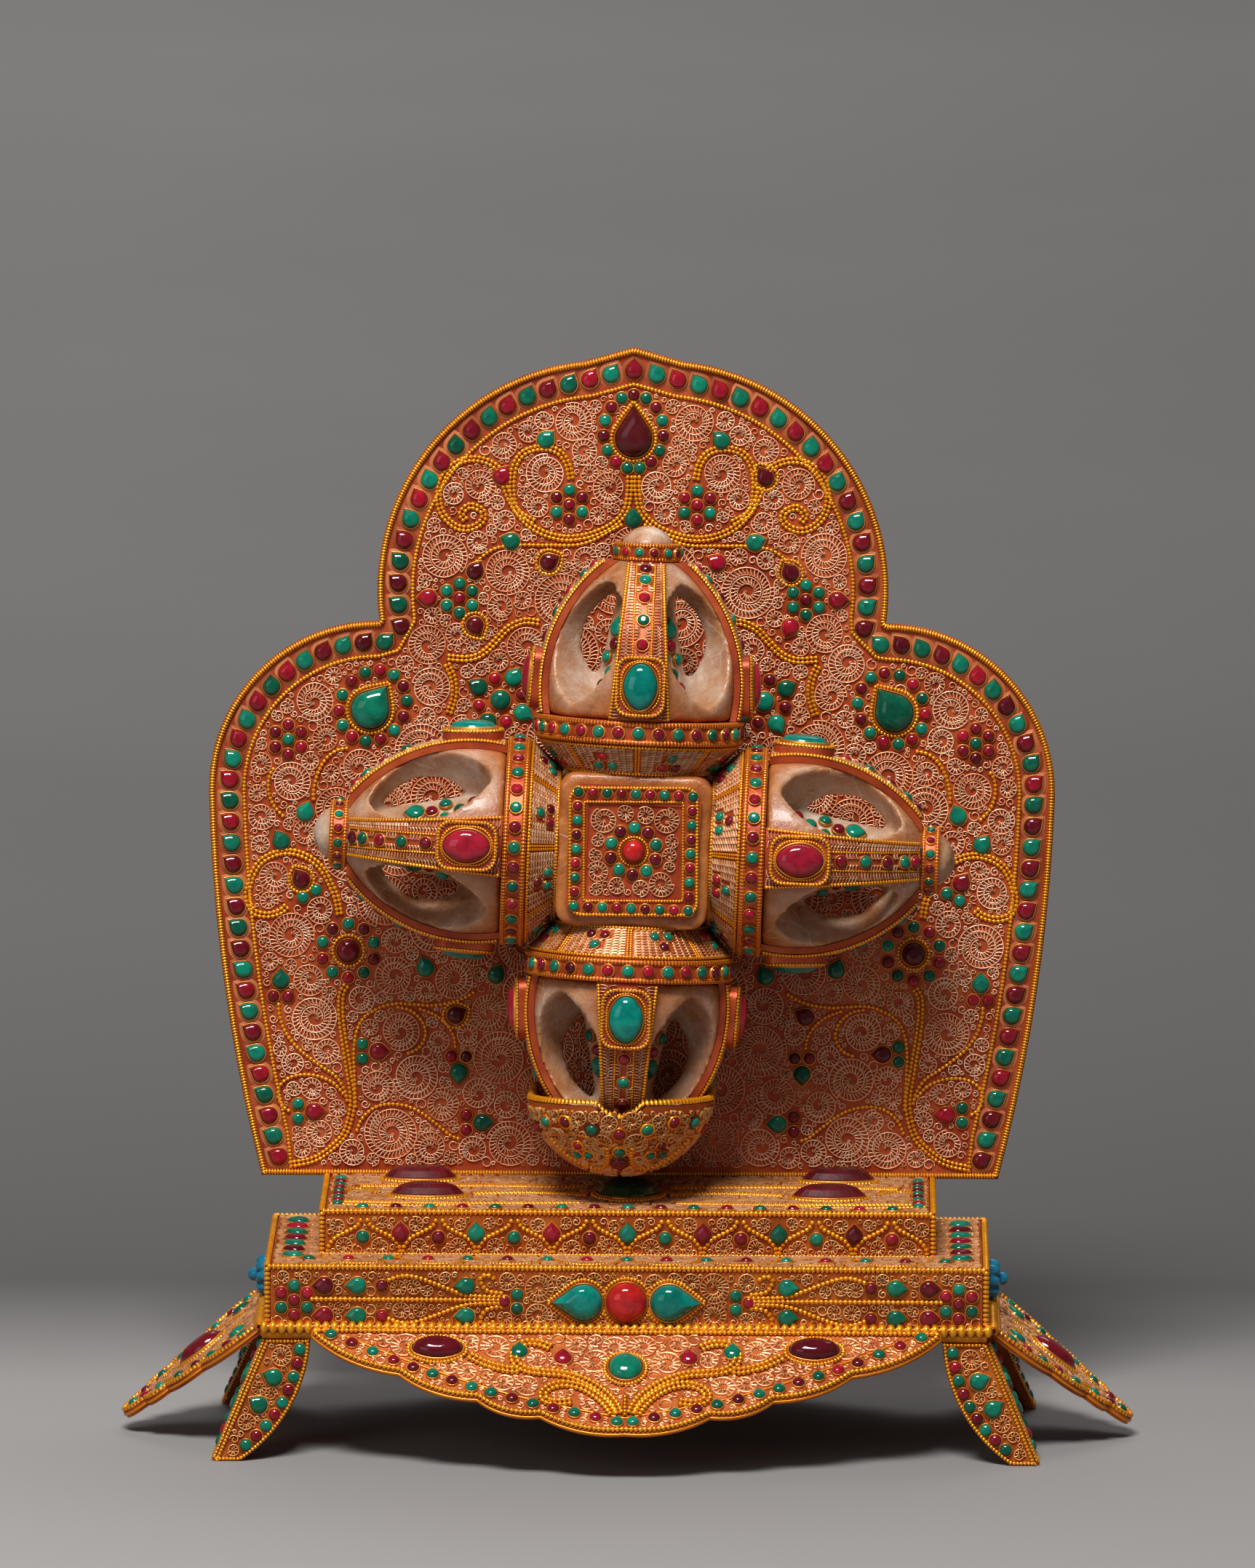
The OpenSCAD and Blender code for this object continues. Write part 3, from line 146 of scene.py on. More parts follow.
def turn(axis, angle):
    """Rotation matrix about x, y or z."""
    c, s = math.cos(angle), math.sin(angle)
    i, j = [(1, 2), (2, 0), (0, 1)]["xyz".index(axis)]
    m = np.eye(3)
    m[i, i] = m[j, j] = c
    m[i, j], m[j, i] = -s, s
    return m


def curve(points):
    """Smooth line through the given points, at even steps."""
    p = np.asarray(points, float)
    p = np.vstack([2 * p[0] - p[1], p, 2 * p[-1] - p[-2]])
    a, b, c, d = p[:-3, None], p[1:-2, None], p[2:-1, None], p[3:, None]
    t = np.linspace(0, 1, 12, endpoint=False)[None, :, None]
    q = 0.5 * (2 * b + (c - a) * t + (2 * a - 5 * b + 4 * c - d) * t ** 2 + (3 * b - a - 3 * c + d) * t ** 3)
    return even(np.vstack([q.reshape(-1, p.shape[1]), p[-2]]))


def run_of(line):
    """How far along a line each of its points lies."""
    return np.concatenate([[0], np.cumsum(np.linalg.norm(np.diff(line, axis=0), axis=1))])


def read_at(rows, run, places):
    """Rows that are known along a run, read at other places of it."""
    return np.stack([np.interp(places, run, rows[:, k]) for k in range(rows.shape[1])], axis=1)


def even(line, step=0.5):
    """The same line with points at even steps."""
    run = run_of(line)
    count = max(2, int(round(run[-1] / step)) + 1)
    return read_at(line, run, np.linspace(0, run[-1], count))


def closed(loop, step=0.5):
    """A loop that ends where it starts, with points at even steps."""
    return even(np.vstack([loop, loop[:1]]), step)


def flat_line(x, y):
    """Flat points from places across and along, either of which may be one number."""
    return np.stack(np.broadcast_arrays(x, y), axis=1)


def beside(line, off):
    """A flat line moved sideways, to its left."""
    t = unit(np.gradient(line, axis=0))
    return line + off * np.stack([-t[:, 1], t[:, 0]], axis=1)


def drawn_in(path, inset):
    """A closed flat line moved toward its inside."""
    turned = np.sum(path[:-1, 0] * path[1:, 1] - path[1:, 0] * path[:-1, 1]) > 0
    return beside(path, inset if turned else -inset)


def box_of(node):
    """Lowest and highest corner of a node in millimetres."""
    low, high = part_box(node)
    return np.array(low) / MM, np.array(high) / MM


class Piece:
    """Points and faces that are gathered for one object."""

    def __init__(self):
        self.verts, self.faces, self.tones, self.count = [], [], [], 0

    def add(self, verts, faces, tone=0.5):
        """Takes in a surface, with one tone for all of it or one for each point."""
        verts = np.asarray(verts, float).reshape(-1, 3)
        self.verts.append(verts)
        self.faces.append(np.asarray(faces) + self.count)
        self.tones.append(np.broadcast_to(np.asarray(tone, float), len(verts)))
        self.count += len(verts)

    def mesh(self, name, material, smooth=True):
        """Mesh of all that was added, in metres."""
        corners = np.concatenate([f.ravel() for f in self.faces])
        sizes = np.concatenate([np.full(len(f), f.shape[1]) for f in self.faces])
        mesh = bpy.data.meshes.new(name)
        mesh.vertices.add(self.count)
        mesh.vertices.foreach_set("co", (np.concatenate(self.verts) * MM).ravel())
        mesh.loops.add(len(corners))
        mesh.loops.foreach_set("vertex_index", corners)
        mesh.polygons.add(len(sizes))
        mesh.polygons.foreach_set("loop_start", np.concatenate([[0], np.cumsum(sizes)[:-1]]))
        mesh.polygons.foreach_set("use_smooth", np.full(len(sizes), smooth))
        mesh.attributes.new("tone", "FLOAT", "POINT").data.foreach_set("value", np.concatenate(self.tones))
        mesh.update(calc_edges=True)
        mesh.materials.append(material)
        return mesh

    def make(self, name, body, material, slot, nodes=(), smooth=True):
        return settle(bpy.data.objects.new(name, self.mesh(name, material, smooth)), body, nodes)


def settle(obj, body, nodes=()):
    """Links an object, hangs it on its body and hides the CAD nodes that it replaces."""
    bpy.context.scene.collection.objects.link(obj)
    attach(obj, body)
    if nodes:
        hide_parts(*nodes)
    return obj


def grid_faces(shape):
    """Quads between neighbouring points of one sheet of rows or of many."""
    index = np.arange(int(np.prod(shape))).reshape(shape)
    a, b = index[..., :-1, :-1], index[..., :-1, 1:]
    c, d = index[..., 1:, 1:], index[..., 1:, :-1]
    return np.stack([a, d, c, b], axis=-1).reshape(-1, 4)


def fine_wire(piece, lines, put):
    """Thin wires with a ridge along flat lines of equal length, laid on a surface."""
    lines = np.asarray(lines, float)
    if not lines.size:
        return
    flat = lines.reshape(-1, 2)
    base = put(flat, 0.0).reshape(lines.shape[:2] + (3,))
    up = unit(put(flat, 1.0).reshape(base.shape) - base)
    side = unit(np.cross(up, np.gradient(base, axis=1)))
    low = base - WIRE_SINK * up
    rows = np.stack([low - WIRE_HALF * side, base + WIRE_HIGH * up, low + WIRE_HALF * side], axis=2)
    # painted shade at the feet of each wire and a painted highlight on its ridge, with a random share per
    # wire
    tone = rng.random((len(lines), 1, 1)) * WIRE_SPREAD + WIRE_PAINTED_SHADING
    piece.add(rows, grid_faces(rows.shape[:3]), np.broadcast_to(tone, rows.shape[:3]).ravel())


def half_round(side, up):
    """Points on the open side of a wire of radius one, for each place along it."""
    a = BEAD_ANGLES[None, :, None]
    return side[:, None] * np.cos(a) + up[:, None] * np.sin(a)


def beads(piece, path, up, r, pitch, ring=False, lift=0.8):
    """Beaded wire along a path in space; up points away from what carries it."""
    run = run_of(path)
    count = 3 * max(1, int(round(run[-1] / pitch))) + 1
    places = np.linspace(0, run[-1], count)
    up = unit(read_at(np.broadcast_to(up, path.shape), run, places))
    path = read_at(path, run, places)
    along = np.gradient(path, axis=0)
    if ring:
        along[0] = along[-1] = path[1] - path[-2]
    side = unit(np.cross(along, up))
    rho = r * BEAD_SWELL[np.arange(count) % 3]
    rows = (path + lift * r * up)[:, None] + rho[:, None, None] * half_round(side, up)
    # painted shade in the valleys between beads and painted light on their bodies, with a random share per
    # bead
    tone = BEAD_PAINTED_SHADING[np.arange(count) % 3] + BEAD_SPREAD * rng.random(count)
    piece.add(rows, grid_faces(rows.shape[:2]), np.repeat(tone, len(BEAD_ANGLES)))


def beads_on(piece, line, put, r, pitch):
    """Beaded wire along a flat line on a surface."""
    base = put(line, 0.0)
    beads(piece, base, put(line, 1.0) - base, r, pitch)


def plain_wire(piece, line, put, r):
    """Round wire along a flat line on a surface."""
    base = put(line, 0.0)
    up = unit(put(line, 1.0) - base)
    side = unit(np.cross(np.gradient(base, axis=0), up))
    rows = (base + 0.6 * r * up)[:, None] + r * half_round(side, up)
    piece.add(rows, grid_faces(rows.shape[:2]))


# Faces of the frame

def cad_mesh(node):
    """Points and triangles of a node, with points that coincide joined."""
    mesh = frame["nodes"][node].data
    mesh.calc_loop_triangles()
    co = np.empty(len(mesh.vertices) * 3, np.float32)
    mesh.vertices.foreach_get("co", co)
    tri = np.empty(len(mesh.loop_triangles) * 3, np.int32)
    mesh.loop_triangles.foreach_get("vertices", tri)
    points, back = np.unique(np.round(co.reshape(-1, 3).astype(float) / MM, 3), axis=0, return_inverse=True)
    return points, back.reshape(-1)[tri.reshape(-1, 3)]


def tri_normals(co, tri):
    """Unit normals and areas of triangles."""
    n = np.cross(co[tri[:, 1]] - co[tri[:, 0]], co[tri[:, 2]] - co[tri[:, 0]])
    size = np.linalg.norm(n, axis=1)
    return n / np.maximum(size, 1e-12)[:, None], size / 2


def chain(edges):
    """Closed loops made of edges."""
    nexts = {}
    for a, b in edges:
        nexts.setdefault(a, []).append(b)
        nexts.setdefault(b, []).append(a)
    loops = []
    while nexts:
        start = next(iter(nexts))
        loop, here = [start], start
        while nexts.get(here):
            there = nexts[here].pop()
            nexts[there].remove(here)
            if not nexts[here]:
                del nexts[here]
            here = there
            if here == start:
                break
            loop.append(here)
        if not nexts.get(here, True):
            del nexts[here]
        loops.append(loop)
    return loops


class Flat:
    """A plane with its origin o, axes x and y and normal n."""

    def put(self, uv, h):
        """Points in space from flat points and their height above the plane."""
        return self.o + uv[:, :1] * self.x + uv[:, 1:] * self.y + h * self.n


class Face(Flat):
    """A flat face of a node, seen from outside: x level, y upward, the origin below its middle."""

    def __init__(self, node, toward):
        co, tri = cad_mesh(node)
        n, area = tri_normals(co, tri)
        way = unit(np.asarray(toward, float))
        facing = n @ way
        large = (facing > 0.75) & (area > 0.3 * area[facing > 0.75].max())
        pick = np.argmax(np.where(large, co[tri].mean(axis=1) @ way, -1e9))
        self.n = n[pick]
        flush = np.abs((co[tri[:, 0]] - co[tri[pick, 0]]) @ self.n) < 0.05
        tri = tri[(n @ self.n > 0.999) & flush]
        self.x = np.array([1.0, 0, 0]) if abs(self.n[2]) > 0.95 else unit(np.cross([0, 0, 1.0], self.n))
        self.y = np.cross(self.n, self.x)
        edges = np.sort(tri[:, [0, 1, 1, 2, 2, 0]].reshape(-1, 2), axis=1)
        edges, count = np.unique(edges, axis=0, return_counts=True)
        loops = [co[loop] for loop in chain(edges[count == 1].tolist()) if len(loop) > 2]
        flat = [np.stack([p @ self.x, p @ self.y], axis=1) for p in loops]
        every = np.vstack(flat)
        shift = np.array([(every[:, 0].min() + every[:, 0].max()) / 2, every[:, 1].min()])
        self.loops = [p - shift for p in flat]
        self.o = self.x * shift[0] + self.y * shift[1] + self.n * (loops[0][0] @ self.n)
        self.high = every[:, 1].max() - shift[1]
        self.wide = every[:, 0].max() - every[:, 0].min()

    def lifted(self, by, mid=(0.0, 0.0)):
        """The same face at another height, with its origin at mid."""
        def put(uv, h):
            return self.put(uv + mid, h + by)
        return put

    def at(self, p):
        """Flat place of points in space."""
        d = np.asarray(p) - self.o
        return np.stack([d @ self.x, d @ self.y], axis=-1)

    def outline(self):
        """The loop with the most points."""
        return max(self.loops, key=len)


# Stones

def islands(tri, count):
    """Number of the solid that each point belongs to."""
    label = np.arange(count)
    while True:
        low = label[tri].min(axis=1)
        new = label.copy()
        np.minimum.at(new, tri.ravel(), np.repeat(low, 3))
        new = new[new]
        if (new == label).all():
            return label
        label = new


def hull(points):
    """Convex outline of flat points, counterclockwise."""
    points = sorted(map(tuple, points))
    sides = []
    for run in (points, points[::-1]):
        half = []
        for p in run:
            while len(half) > 1 and ((half[-1][0] - half[-2][0]) * (p[1] - half[-2][1])
                                     - (half[-1][1] - half[-2][1]) * (p[0] - half[-2][0])) <= 1e-9:
                half.pop()
            half.append(p)
        sides += half[:-1]
    return np.array(sides)


class Stone:
    """Seat, outline and height of one stone solid."""

    def __init__(self, co, tri):
        n, area = tri_normals(co, tri)
        best = np.argmax([area[n @ v > 0.999].sum() for v in n[np.argsort(-area)[:12]]])
        down = n[np.argsort(-area)[best]]
        self.up = -down
        level = co @ self.up
        self.x = unit(np.cross(self.up, [0.13, 0.97, 0.2]))
        self.y = np.cross(self.up, self.x)
        foot = co[level < level.min() + 0.03]
        edge = hull(np.round(np.stack([foot @ self.x, foot @ self.y], axis=1), 3))
        mid = (edge.min(axis=0) + edge.max(axis=0)) / 2
        far = np.argmax(np.linalg.norm(edge - edge.mean(axis=0), axis=1))
        mid = edge.mean(axis=0) if len(edge) < 8 else mid
        edge = edge - mid
        self.high = level.max() - level.min()
        self.c = self.x * mid[0] + self.y * mid[1] + self.up * level.min()
        ahead = np.roll(edge, -1, axis=0)
        out = unit(np.stack([(ahead - edge)[:, 1], -(ahead - edge)[:, 0]], axis=1))
        gap = (out * edge).sum(axis=1)
        self.r = np.linalg.norm(edge, axis=1).max()
        count = 14 if self.r < 2.3 else 20 if self.r < 4.2 else 36
        self.a = math.atan2(*edge[far][::-1]) + np.arange(count) * 2 * math.pi / count
        lean = np.cos(self.a)[:, None] * out[:, 0] + np.sin(self.a)[:, None] * out[:, 1]
        self.rho = np.min(np.where(lean > 1e-3, gap / np.maximum(lean, 1e-3), 1e9), axis=1)

    def ring(self, share, off, z):
        """Closed ring at a share of the outline, moved out by off, at a height."""
        r = self.rho * share + off
        spoke = np.cos(self.a)[:, None] * self.x + np.sin(self.a)[:, None] * self.y
        return self.c + r[:, None] * spoke + z * self.up

    def shell(self, piece, rings, tone, top=None):
        """Skin over rings from the foot up, closed by a point at height top."""
        m = len(self.a)
        rows = np.stack([self.ring(*q) for q in rings])
        rows = np.concatenate([rows, rows[:, :1]], axis=1)
        piece.add(rows, grid_faces(rows.shape[:2])[:, ::-1], tone)
        if top is not None:
            cap = np.vstack([self.ring(*rings[-1]), self.c + top * self.up])
            k = np.arange(m)
            piece.add(cap, np.stack([k, (k + 1) % m, np.full(m, m)], axis=1), tone)


def read_stones(node):
    """All stones of a node."""
    co, tri = cad_mesh(node)
    label = islands(tri, len(co))
    stones = []
    for k in np.unique(label[tri[:, 0]]):
        own = tri[label[tri[:, 0]] == k]
        used, back = np.unique(own, return_inverse=True)
        stones.append(Stone(co[used], back.reshape(-1, 3)))
    return stones


# Filigree

def inside(loops, p):
    """Whether flat points lie within the outline, with its holes left out."""
    hit = np.zeros(len(p), bool)
    for loop in loops:
        for a, b in zip(loop, np.roll(loop, -1, axis=0)):
            if a[1] != b[1]:
                cross = a[0] + (p[:, 1] - a[1]) * (b[0] - a[0]) / (b[1] - a[1])
                hit ^= ((p[:, 1] < a[1]) != (p[:, 1] < b[1])) & (p[:, 0] < cross)
    return hit


# Step of the grid on which circles are packed
GRID = 0.45


def pack(loops, blocks, radii, margin):
    """Circles that fill an outline, clear of round blocks given as x, y and radius."""
    every = np.vstack(loops)
    low, high = every.min(axis=0), every.max(axis=0)
    nx, ny = (np.ceil((high - low) / GRID)).astype(int) + 1
    gx, gy = low[0] + GRID * np.arange(nx), low[1] + GRID * np.arange(ny)
    room = np.full((nx, ny), 30.0)
    p = np.stack(np.meshgrid(gx, gy, indexing="ij"), axis=-1).reshape(-1, 2)
    room[~inside(loops, p).reshape(nx, ny)] = -1
    reach = radii[0] + 0.5

    def block(x, y, r):
        i0, i1 = np.searchsorted(gx, [x - r - reach, x + r + reach])
        j0, j1 = np.searchsorted(gy, [y - r - reach, y + r + reach])
        d = np.hypot(gx[i0:i1, None] - x, gy[None, j0:j1] - y) - r
        np.minimum(room[i0:i1, j0:j1], d, out=room[i0:i1, j0:j1])

    for loop in loops:
        for x, y in closed(loop, 0.7):
            block(x, y, margin)
    for x, y, r in blocks:
        block(x, y, r)
    found = []
    area = (room > 0).sum() * GRID * GRID
    for k, r in enumerate(radii):
        # the three largest sizes take a fifth of the area each at most
        left = 0.2 * area if k < 3 else 1e9
        cells = np.flatnonzero(room.ravel() >= r)
        while len(cells) and left > 0:
            free = room.ravel()[cells]
            cells, free = cells[free >= r], free[free >= r]
            if not len(cells):
                break
            pick = cells[np.argmin(free + 0.5 * rng.random(len(free)))]
            size = min(room.ravel()[pick], 1.12 * r)
            x, y = gx[pick // ny], gy[pick % ny]
            found.append((x, y, size))
            block(x, y, size)
            left -= math.pi * size * size
    return found


def swirl(mid, rho, a):
    """Flat points about a middle, by radius and angle."""
    return np.asarray(mid) + np.asarray(rho)[..., None] * np.stack([np.cos(a), np.sin(a)], axis=-1)


def scrolls(piece, circles, put, fine=1.0):
    """A spiral with hooked tendrils between its turns in each circle, or a small curl."""
    hooks, curls = [], []
    for x, y, r in circles:
        outer = r + 0.05
        hand, phase = rng.choice([-1, 1]), rng.random() * 2 * math.pi
        if r < CURL_BELOW:
            t = np.linspace(0, 2.4 * math.pi, 10)
            curls.append(swirl((x, y), outer * np.linspace(1, 0.28, 10), phase + hand * t))
            continue
        gap = (1.6 + 0.15 * (r + 0.25)) * fine
        turns = max(1.0, (outer - 0.3 * gap) / gap)
        t = np.linspace(0, turns * 2 * math.pi, int(turns * (9 + 2.2 * (r + 0.25))))
        rho = np.maximum(outer - gap * np.maximum(t - 1.2 * math.pi, 0) / (2 * math.pi), 0.3)
        line = swirl((x, y), rho, phase + hand * t)
        fine_wire(piece, line[None], put)
        run = run_of(line)
        root = np.interp(np.arange(0, run[-1], HOOK_PITCH * fine), run, t)
        reach = np.interp(root, t, rho)
        root, reach = root[reach > 0.85 * gap], reach[reach > 0.85 * gap]
        bend = root[:, None] + HOOK[None, :, 0] * gap / np.maximum(reach, 1.2)[:, None]
        depth = reach[:, None] - HOOK[None, :, 1] * gap
        hooks.append(swirl((x, y), depth, phase + hand * bend))
    if curls:
        fine_wire(piece, np.array(curls), put)
    if hooks:
        fine_wire(piece, np.concatenate(hooks), put)


class Body:
    """Pieces of fine work that ride on one body."""

    def __init__(self):
        self.gilt, self.fine = {}, {}

    def beaded(self, name):
        return self.gilt.setdefault(name, Piece())

    def wire(self, name):
        return self.fine.setdefault(name, Piece())


stand, vajra = Body(), Body()


def both(*names):
    """Nodes that come in green and in red."""
    return [f"{name}_{colour}" for name in names for colour in ("green", "red")]


STONE_NODES = {
    "stand": both("border_drops") + ["crest_drop", "shoulder_drops"] + both("plate_stones", "cup_stones")
    + ["front_coral", "front_drops"] + both("tier_stones") + ["top_green_gem", "top_red_gems"]
    + both("apron_stones", "leg_stones"),
    "vajra": both("oval_stones") + ["hub_corals"]
    + both("hub_stones", "band_stones", "strap_stones", "core_stones"),
}
stones = {node: read_stones(node) for nodes in STONE_NODES.values() for node in nodes}
all_stones = [s for group in stones.values() for s in group]
stone_mid = np.array([s.c for s in all_stones])
stone_up = np.array([s.up for s in all_stones])
stone_r = np.array([s.r for s in all_stones])


def stones_on(face):
    """Blocks for the stones that sit on a face."""
    near = (np.abs((stone_mid - face.o) @ face.n) < 1.2) & (stone_up @ face.n > 0.95)
    uv = face.at(stone_mid[near])
    blocks = []
    for (x, y), k in zip(uv, np.flatnonzero(near)):
        stone = all_stones[k]
        r = stone.rho.min() + 0.5
        blocks.append((x, y, r))
        # smaller blocks toward the tip of a drop
        d = face.at(stone.ring(1, 0, 0)[0]) - (x, y)
        for f in (0.45, 0.8):
            blocks.append((x + f * d[0], y + f * d[1], r * (1.05 - 0.7 * f)))
    return blocks


def clear_of_stones(p, spare):
    """Whether points in space keep clear of all stones."""
    ok = np.ones(len(p), bool)
    batch = 2000
    for k in range(0, len(p), batch):
        d = np.linalg.norm(p[k:k + batch, None] - stone_mid[None], axis=2)
        ok[k:k + batch] = (d > stone_r + spare).all(axis=1)
    return ok


class Dress:
    """Fine work on one flat face: gilt lines first, then filigree in what is left."""

    def __init__(self, face, body, name):
        self.face, self.gilt, self.fine = face, body.beaded(name), body.wire(name)
        self.blocks = stones_on(face)

    def block(self, path, r):
        self.blocks += [(x, y, r) for x, y in path[::2]]

    def line(self, points, rows, r, pitch, mirror=True):
        """Rows of beaded wire beside each other through the points, and their mirror image."""
        for s in (-1, 1) if mirror else (1,):
            path = curve(points) * (s, 1)
            for k in range(rows):
                beads_on(self.gilt, beside(path, (k - (rows - 1) / 2) * 1.9 * r), self.face.put, r, pitch)
            self.block(path, rows * r + 0.1)

    def wire(self, points, r):
        """Plain wire through the points, and its mirror image."""
        for s in (-1, 1):
            path = curve(points) * (s, 1)
            plain_wire(self.gilt, path, self.face.put, r)
            self.block(path, r + 0.1)

    def edge(self, loop, inset, r, pitch):
        """Beaded wire just inside an outline."""
        path = drawn_in(closed(loop), inset)
        beads_on(self.gilt, path, self.face.put, r, pitch)
        self.block(path, r + 0.2)

    def rim(self, loop, drop, r):
        """Plain wire along the edge of the sheet, below its face."""
        plain_wire(self.gilt, closed(loop), self.face.lifted(-drop), r)

    def fill(self, radii, margin, fine=1.0, loops=None):
        """Filigree in what is left of the face."""
        scrolls(self.fine, pack(loops or self.face.loops, self.blocks, radii, margin), self.face.put, fine)


# Radii of the scrolls, largest first
FULL = [7.8, 6.6, 5.6, 4.7, 3.9, 3.2, 2.6, 2.1, 1.7, 1.35, 1.05, 0.85, 0.65]
SMALL = [4.2, 3.6, 3.0, 2.5, 2.1, 1.7, 1.35, 1.05, 0.85, 0.65]
COARSE = [7.4, 6.2, 5.0, 4.0, 3.0, 2.2]
PANEL = [4.4, 3.6, 3.0, 2.4, 1.9, 1.5, 1.2, 1.0]


# Back plate

plate = Face("back_plate", (0, -1, 0.1))
# Rows of beads in each stem of the left half and its course over the foot of the plate, as the photo shows it
PLATE_STEMS = [
    (2, [(-1.1, 209), (-1.2, 204), (-2.5, 198), (-7, 193.6), (-14.4, 190.7), (-21.8, 190.3), (-29.2, 192.9),
         (-34.4, 198), (-36, 204), (-35.5, 210.7), (-32.9, 215.2), (-27.7, 217), (-22.5, 215.9),
         (-19.6, 212.2), (-18.5, 207.4)]),
    (1, [(-3, 194.4), (-14.4, 188.6), (-24.8, 188), (-33.6, 188), (-41, 186.9), (-46.2, 183.2),
         (-49.2, 179.5)]),
    (2, [(-29.2, 194.8), (-34.4, 198), (-37.6, 204), (-39.6, 210), (-44, 213), (-49.9, 213.3), (-55.1, 210),
         (-57.7, 204), (-57, 198), (-52.9, 193.6), (-48.5, 192.9), (-44.8, 195.1), (-44.8, 198.1),
         (-48.5, 199.6), (-51, 197.3), (-49.6, 195.1)]),
    (2, [(-27.5, 165), (-32.1, 165.4), (-36.8, 163.4), (-40, 160.1), (-44, 156.1), (-48.6, 154.2),
         (-55.2, 154.5)]),
    (2, [(-55.2, 152.8), (-53.2, 148.2), (-52.9, 142.9), (-54.5, 137.6)]),
    (1, [(-84.1, 127.4), (-88.1, 126.4), (-91.4, 123.4), (-93.5, 119.1), (-94.5, 114.5), (-94.5, 111.5)]),
    (1, [(-106.2, 121.5), (-107.8, 118.5), (-107.8, 113.8), (-106.2, 109.9), (-103.2, 106.6)]),
    (2, [(-102.2, 80.5), (-104, 78.7), (-108.3, 77.5), (-112.5, 78.7), (-114, 83), (-113.6, 86.1),
         (-112.4, 90), (-109.8, 93.7), (-105.2, 96), (-100.6, 96.3), (-96, 94.7), (-92, 91.4), (-89.4, 86.8),
         (-87.5, 82.4), (-86.6, 77.5)]),
    (2, [(-84.4, 57), (-86, 53.9), (-86.1, 47.8), (-85.4, 41.8), (-84.4, 35.7), (-83.5, 29.7), (-82.6, 23.6),
         (-82.9, 18.8), (-84.7, 12.7), (-88.4, 8.5), (-93.8, 4.8), (-101.6, 3)]),
    (1, [(-81.6, 20), (-82, 29.7), (-82.2, 37.5), (-81.2, 43.6), (-78.7, 47.6), (-73.9, 50.4), (-69.7, 51.4),
         (-64.8, 51.2), (-59.4, 50.9), (-54.6, 51.5), (-50.4, 52.7), (-46.1, 55.1)]),
    (1, [(-69.7, 50.4), (-65.4, 49.4), (-61.8, 46), (-60.9, 41.8), (-63, 38.1), (-66.6, 36.3)]),
    (1, [(-63, 50), (-58.2, 48.2), (-54.6, 45.2), (-52.5, 41.8), (-51.9, 38.1)]),
    (1, [(-104.7, 51.5), (-104.4, 47.8), (-102.8, 43), (-99.8, 38.8), (-95.6, 35.1), (-91.4, 32.1),
         (-87.8, 29.7), (-85.2, 26), (-84, 21.8)]),
    (1, [(-85, 24), (-88.4, 27.6), (-93.2, 29.6), (-98, 29.9), (-102, 28.7), (-104.4, 26.2), (-104.6, 23.2),
         (-103.4, 20.6), (-101, 18.8)]),
    (1, [(-81.4, 13), (-79.8, 16.8), (-76.4, 20), (-72.1, 21.3), (-66.6, 20.8), (-61.8, 18.6), (-57, 15),
         (-53.4, 12.1), (-50.4, 10.9)]),
]


def inner_outline(outline, inset):
    """The plate's outline drawn in, with open ends at its foot."""
    longer = outline - np.where(outline[:, 1:] < 1, 1.2 * inset, 0) * (0, 1)
    path = closed(longer)
    moved = drawn_in(path, inset)
    gap = np.array([np.min(np.hypot(*(path - q).T)) for q in moved])
    return moved[(gap > inset - 0.25) & (moved[:, 1] > RIM_W)]


def dress_plate():
    """Wires, stems, arches and scrolls on the face of the back plate."""
    dress = Dress(plate, stand, "plate")
    outline = plate.outline()
    dress.edge(outline, 1.0, *PLATE_RIM)
    inner = inner_outline(outline, INNER_WIRE)
    start = np.argmax(np.linalg.norm(np.diff(inner, axis=0, append=inner[:1]), axis=1)) + 1
    inner = np.roll(inner, -start, axis=0)
    beads_on(dress.gilt, inner, plate.put, *PLATE_INNER)
    dress.blocks += [(x, y, 0.9) for x, y in inner]
    for rows, points in PLATE_STEMS:
        dress.line(points, rows, *PLATE_STEM)
    rear = Dress(Face("back_plate", -plate.n), stand, "plate_back")
    rear.edge(rear.face.outline(), 1.0, *PLATE_REAR)
    foot = np.array([inner[-1] * (1, 0) + (0, 2), inner[0] * (1, 0) + (0, 2)])
    field = np.vstack([inner, foot])
    circles = pack([field], dress.blocks, FULL, 0.8)
    for name, left in (("plate_left", True), ("plate_right", False)):
        scrolls(stand.wire(name), [c for c in circles if (c[0] < 0) == left], plate.put)


# Tiers, aprons and legs

ARCHES = 8
# Half an arch, as shares of its pitch and of its height
ARCH = [(0.02, 0.06), (0.03, 0.22), (0.12, 0.44), (0.28, 0.6), (0.41, 0.74), (0.47, 0.94)]


def arches(dress, wide, high):
    """Pointed arches in a row, each of two beaded wires."""
    pitch = wide / ARCHES
    for k in range(ARCHES):
        mid = (k - ARCHES / 2) * pitch + pitch / 2
        for s in (-1, 1):
            points = [(mid + s * (a - 0.5) * pitch, b * high) for a, b in ARCH]
            dress.line(points, 1, *ARCH_LINE, mirror=False)


# Lines of the lower front, left half, by height over its middle
FRONT_MIDDLE = [(-93, 0), (-60, 0), (-35.4, 0)]
FRONT_LINES = [
    [(-70.4, 5.6), (-65.9, 7.0), (-61.5, 6.6), (-55.5, 4.5), (-50.4, 2.5), (-45.2, 1.2), (-35.2, 0.9)],
    [(-36, 1.9), (-40.7, 2.7), (-42.6, 5.0), (-42.8, 6.6), (-41.5, 7.4), (-39.4, 7.0), (-38.9, 5.9)],
]
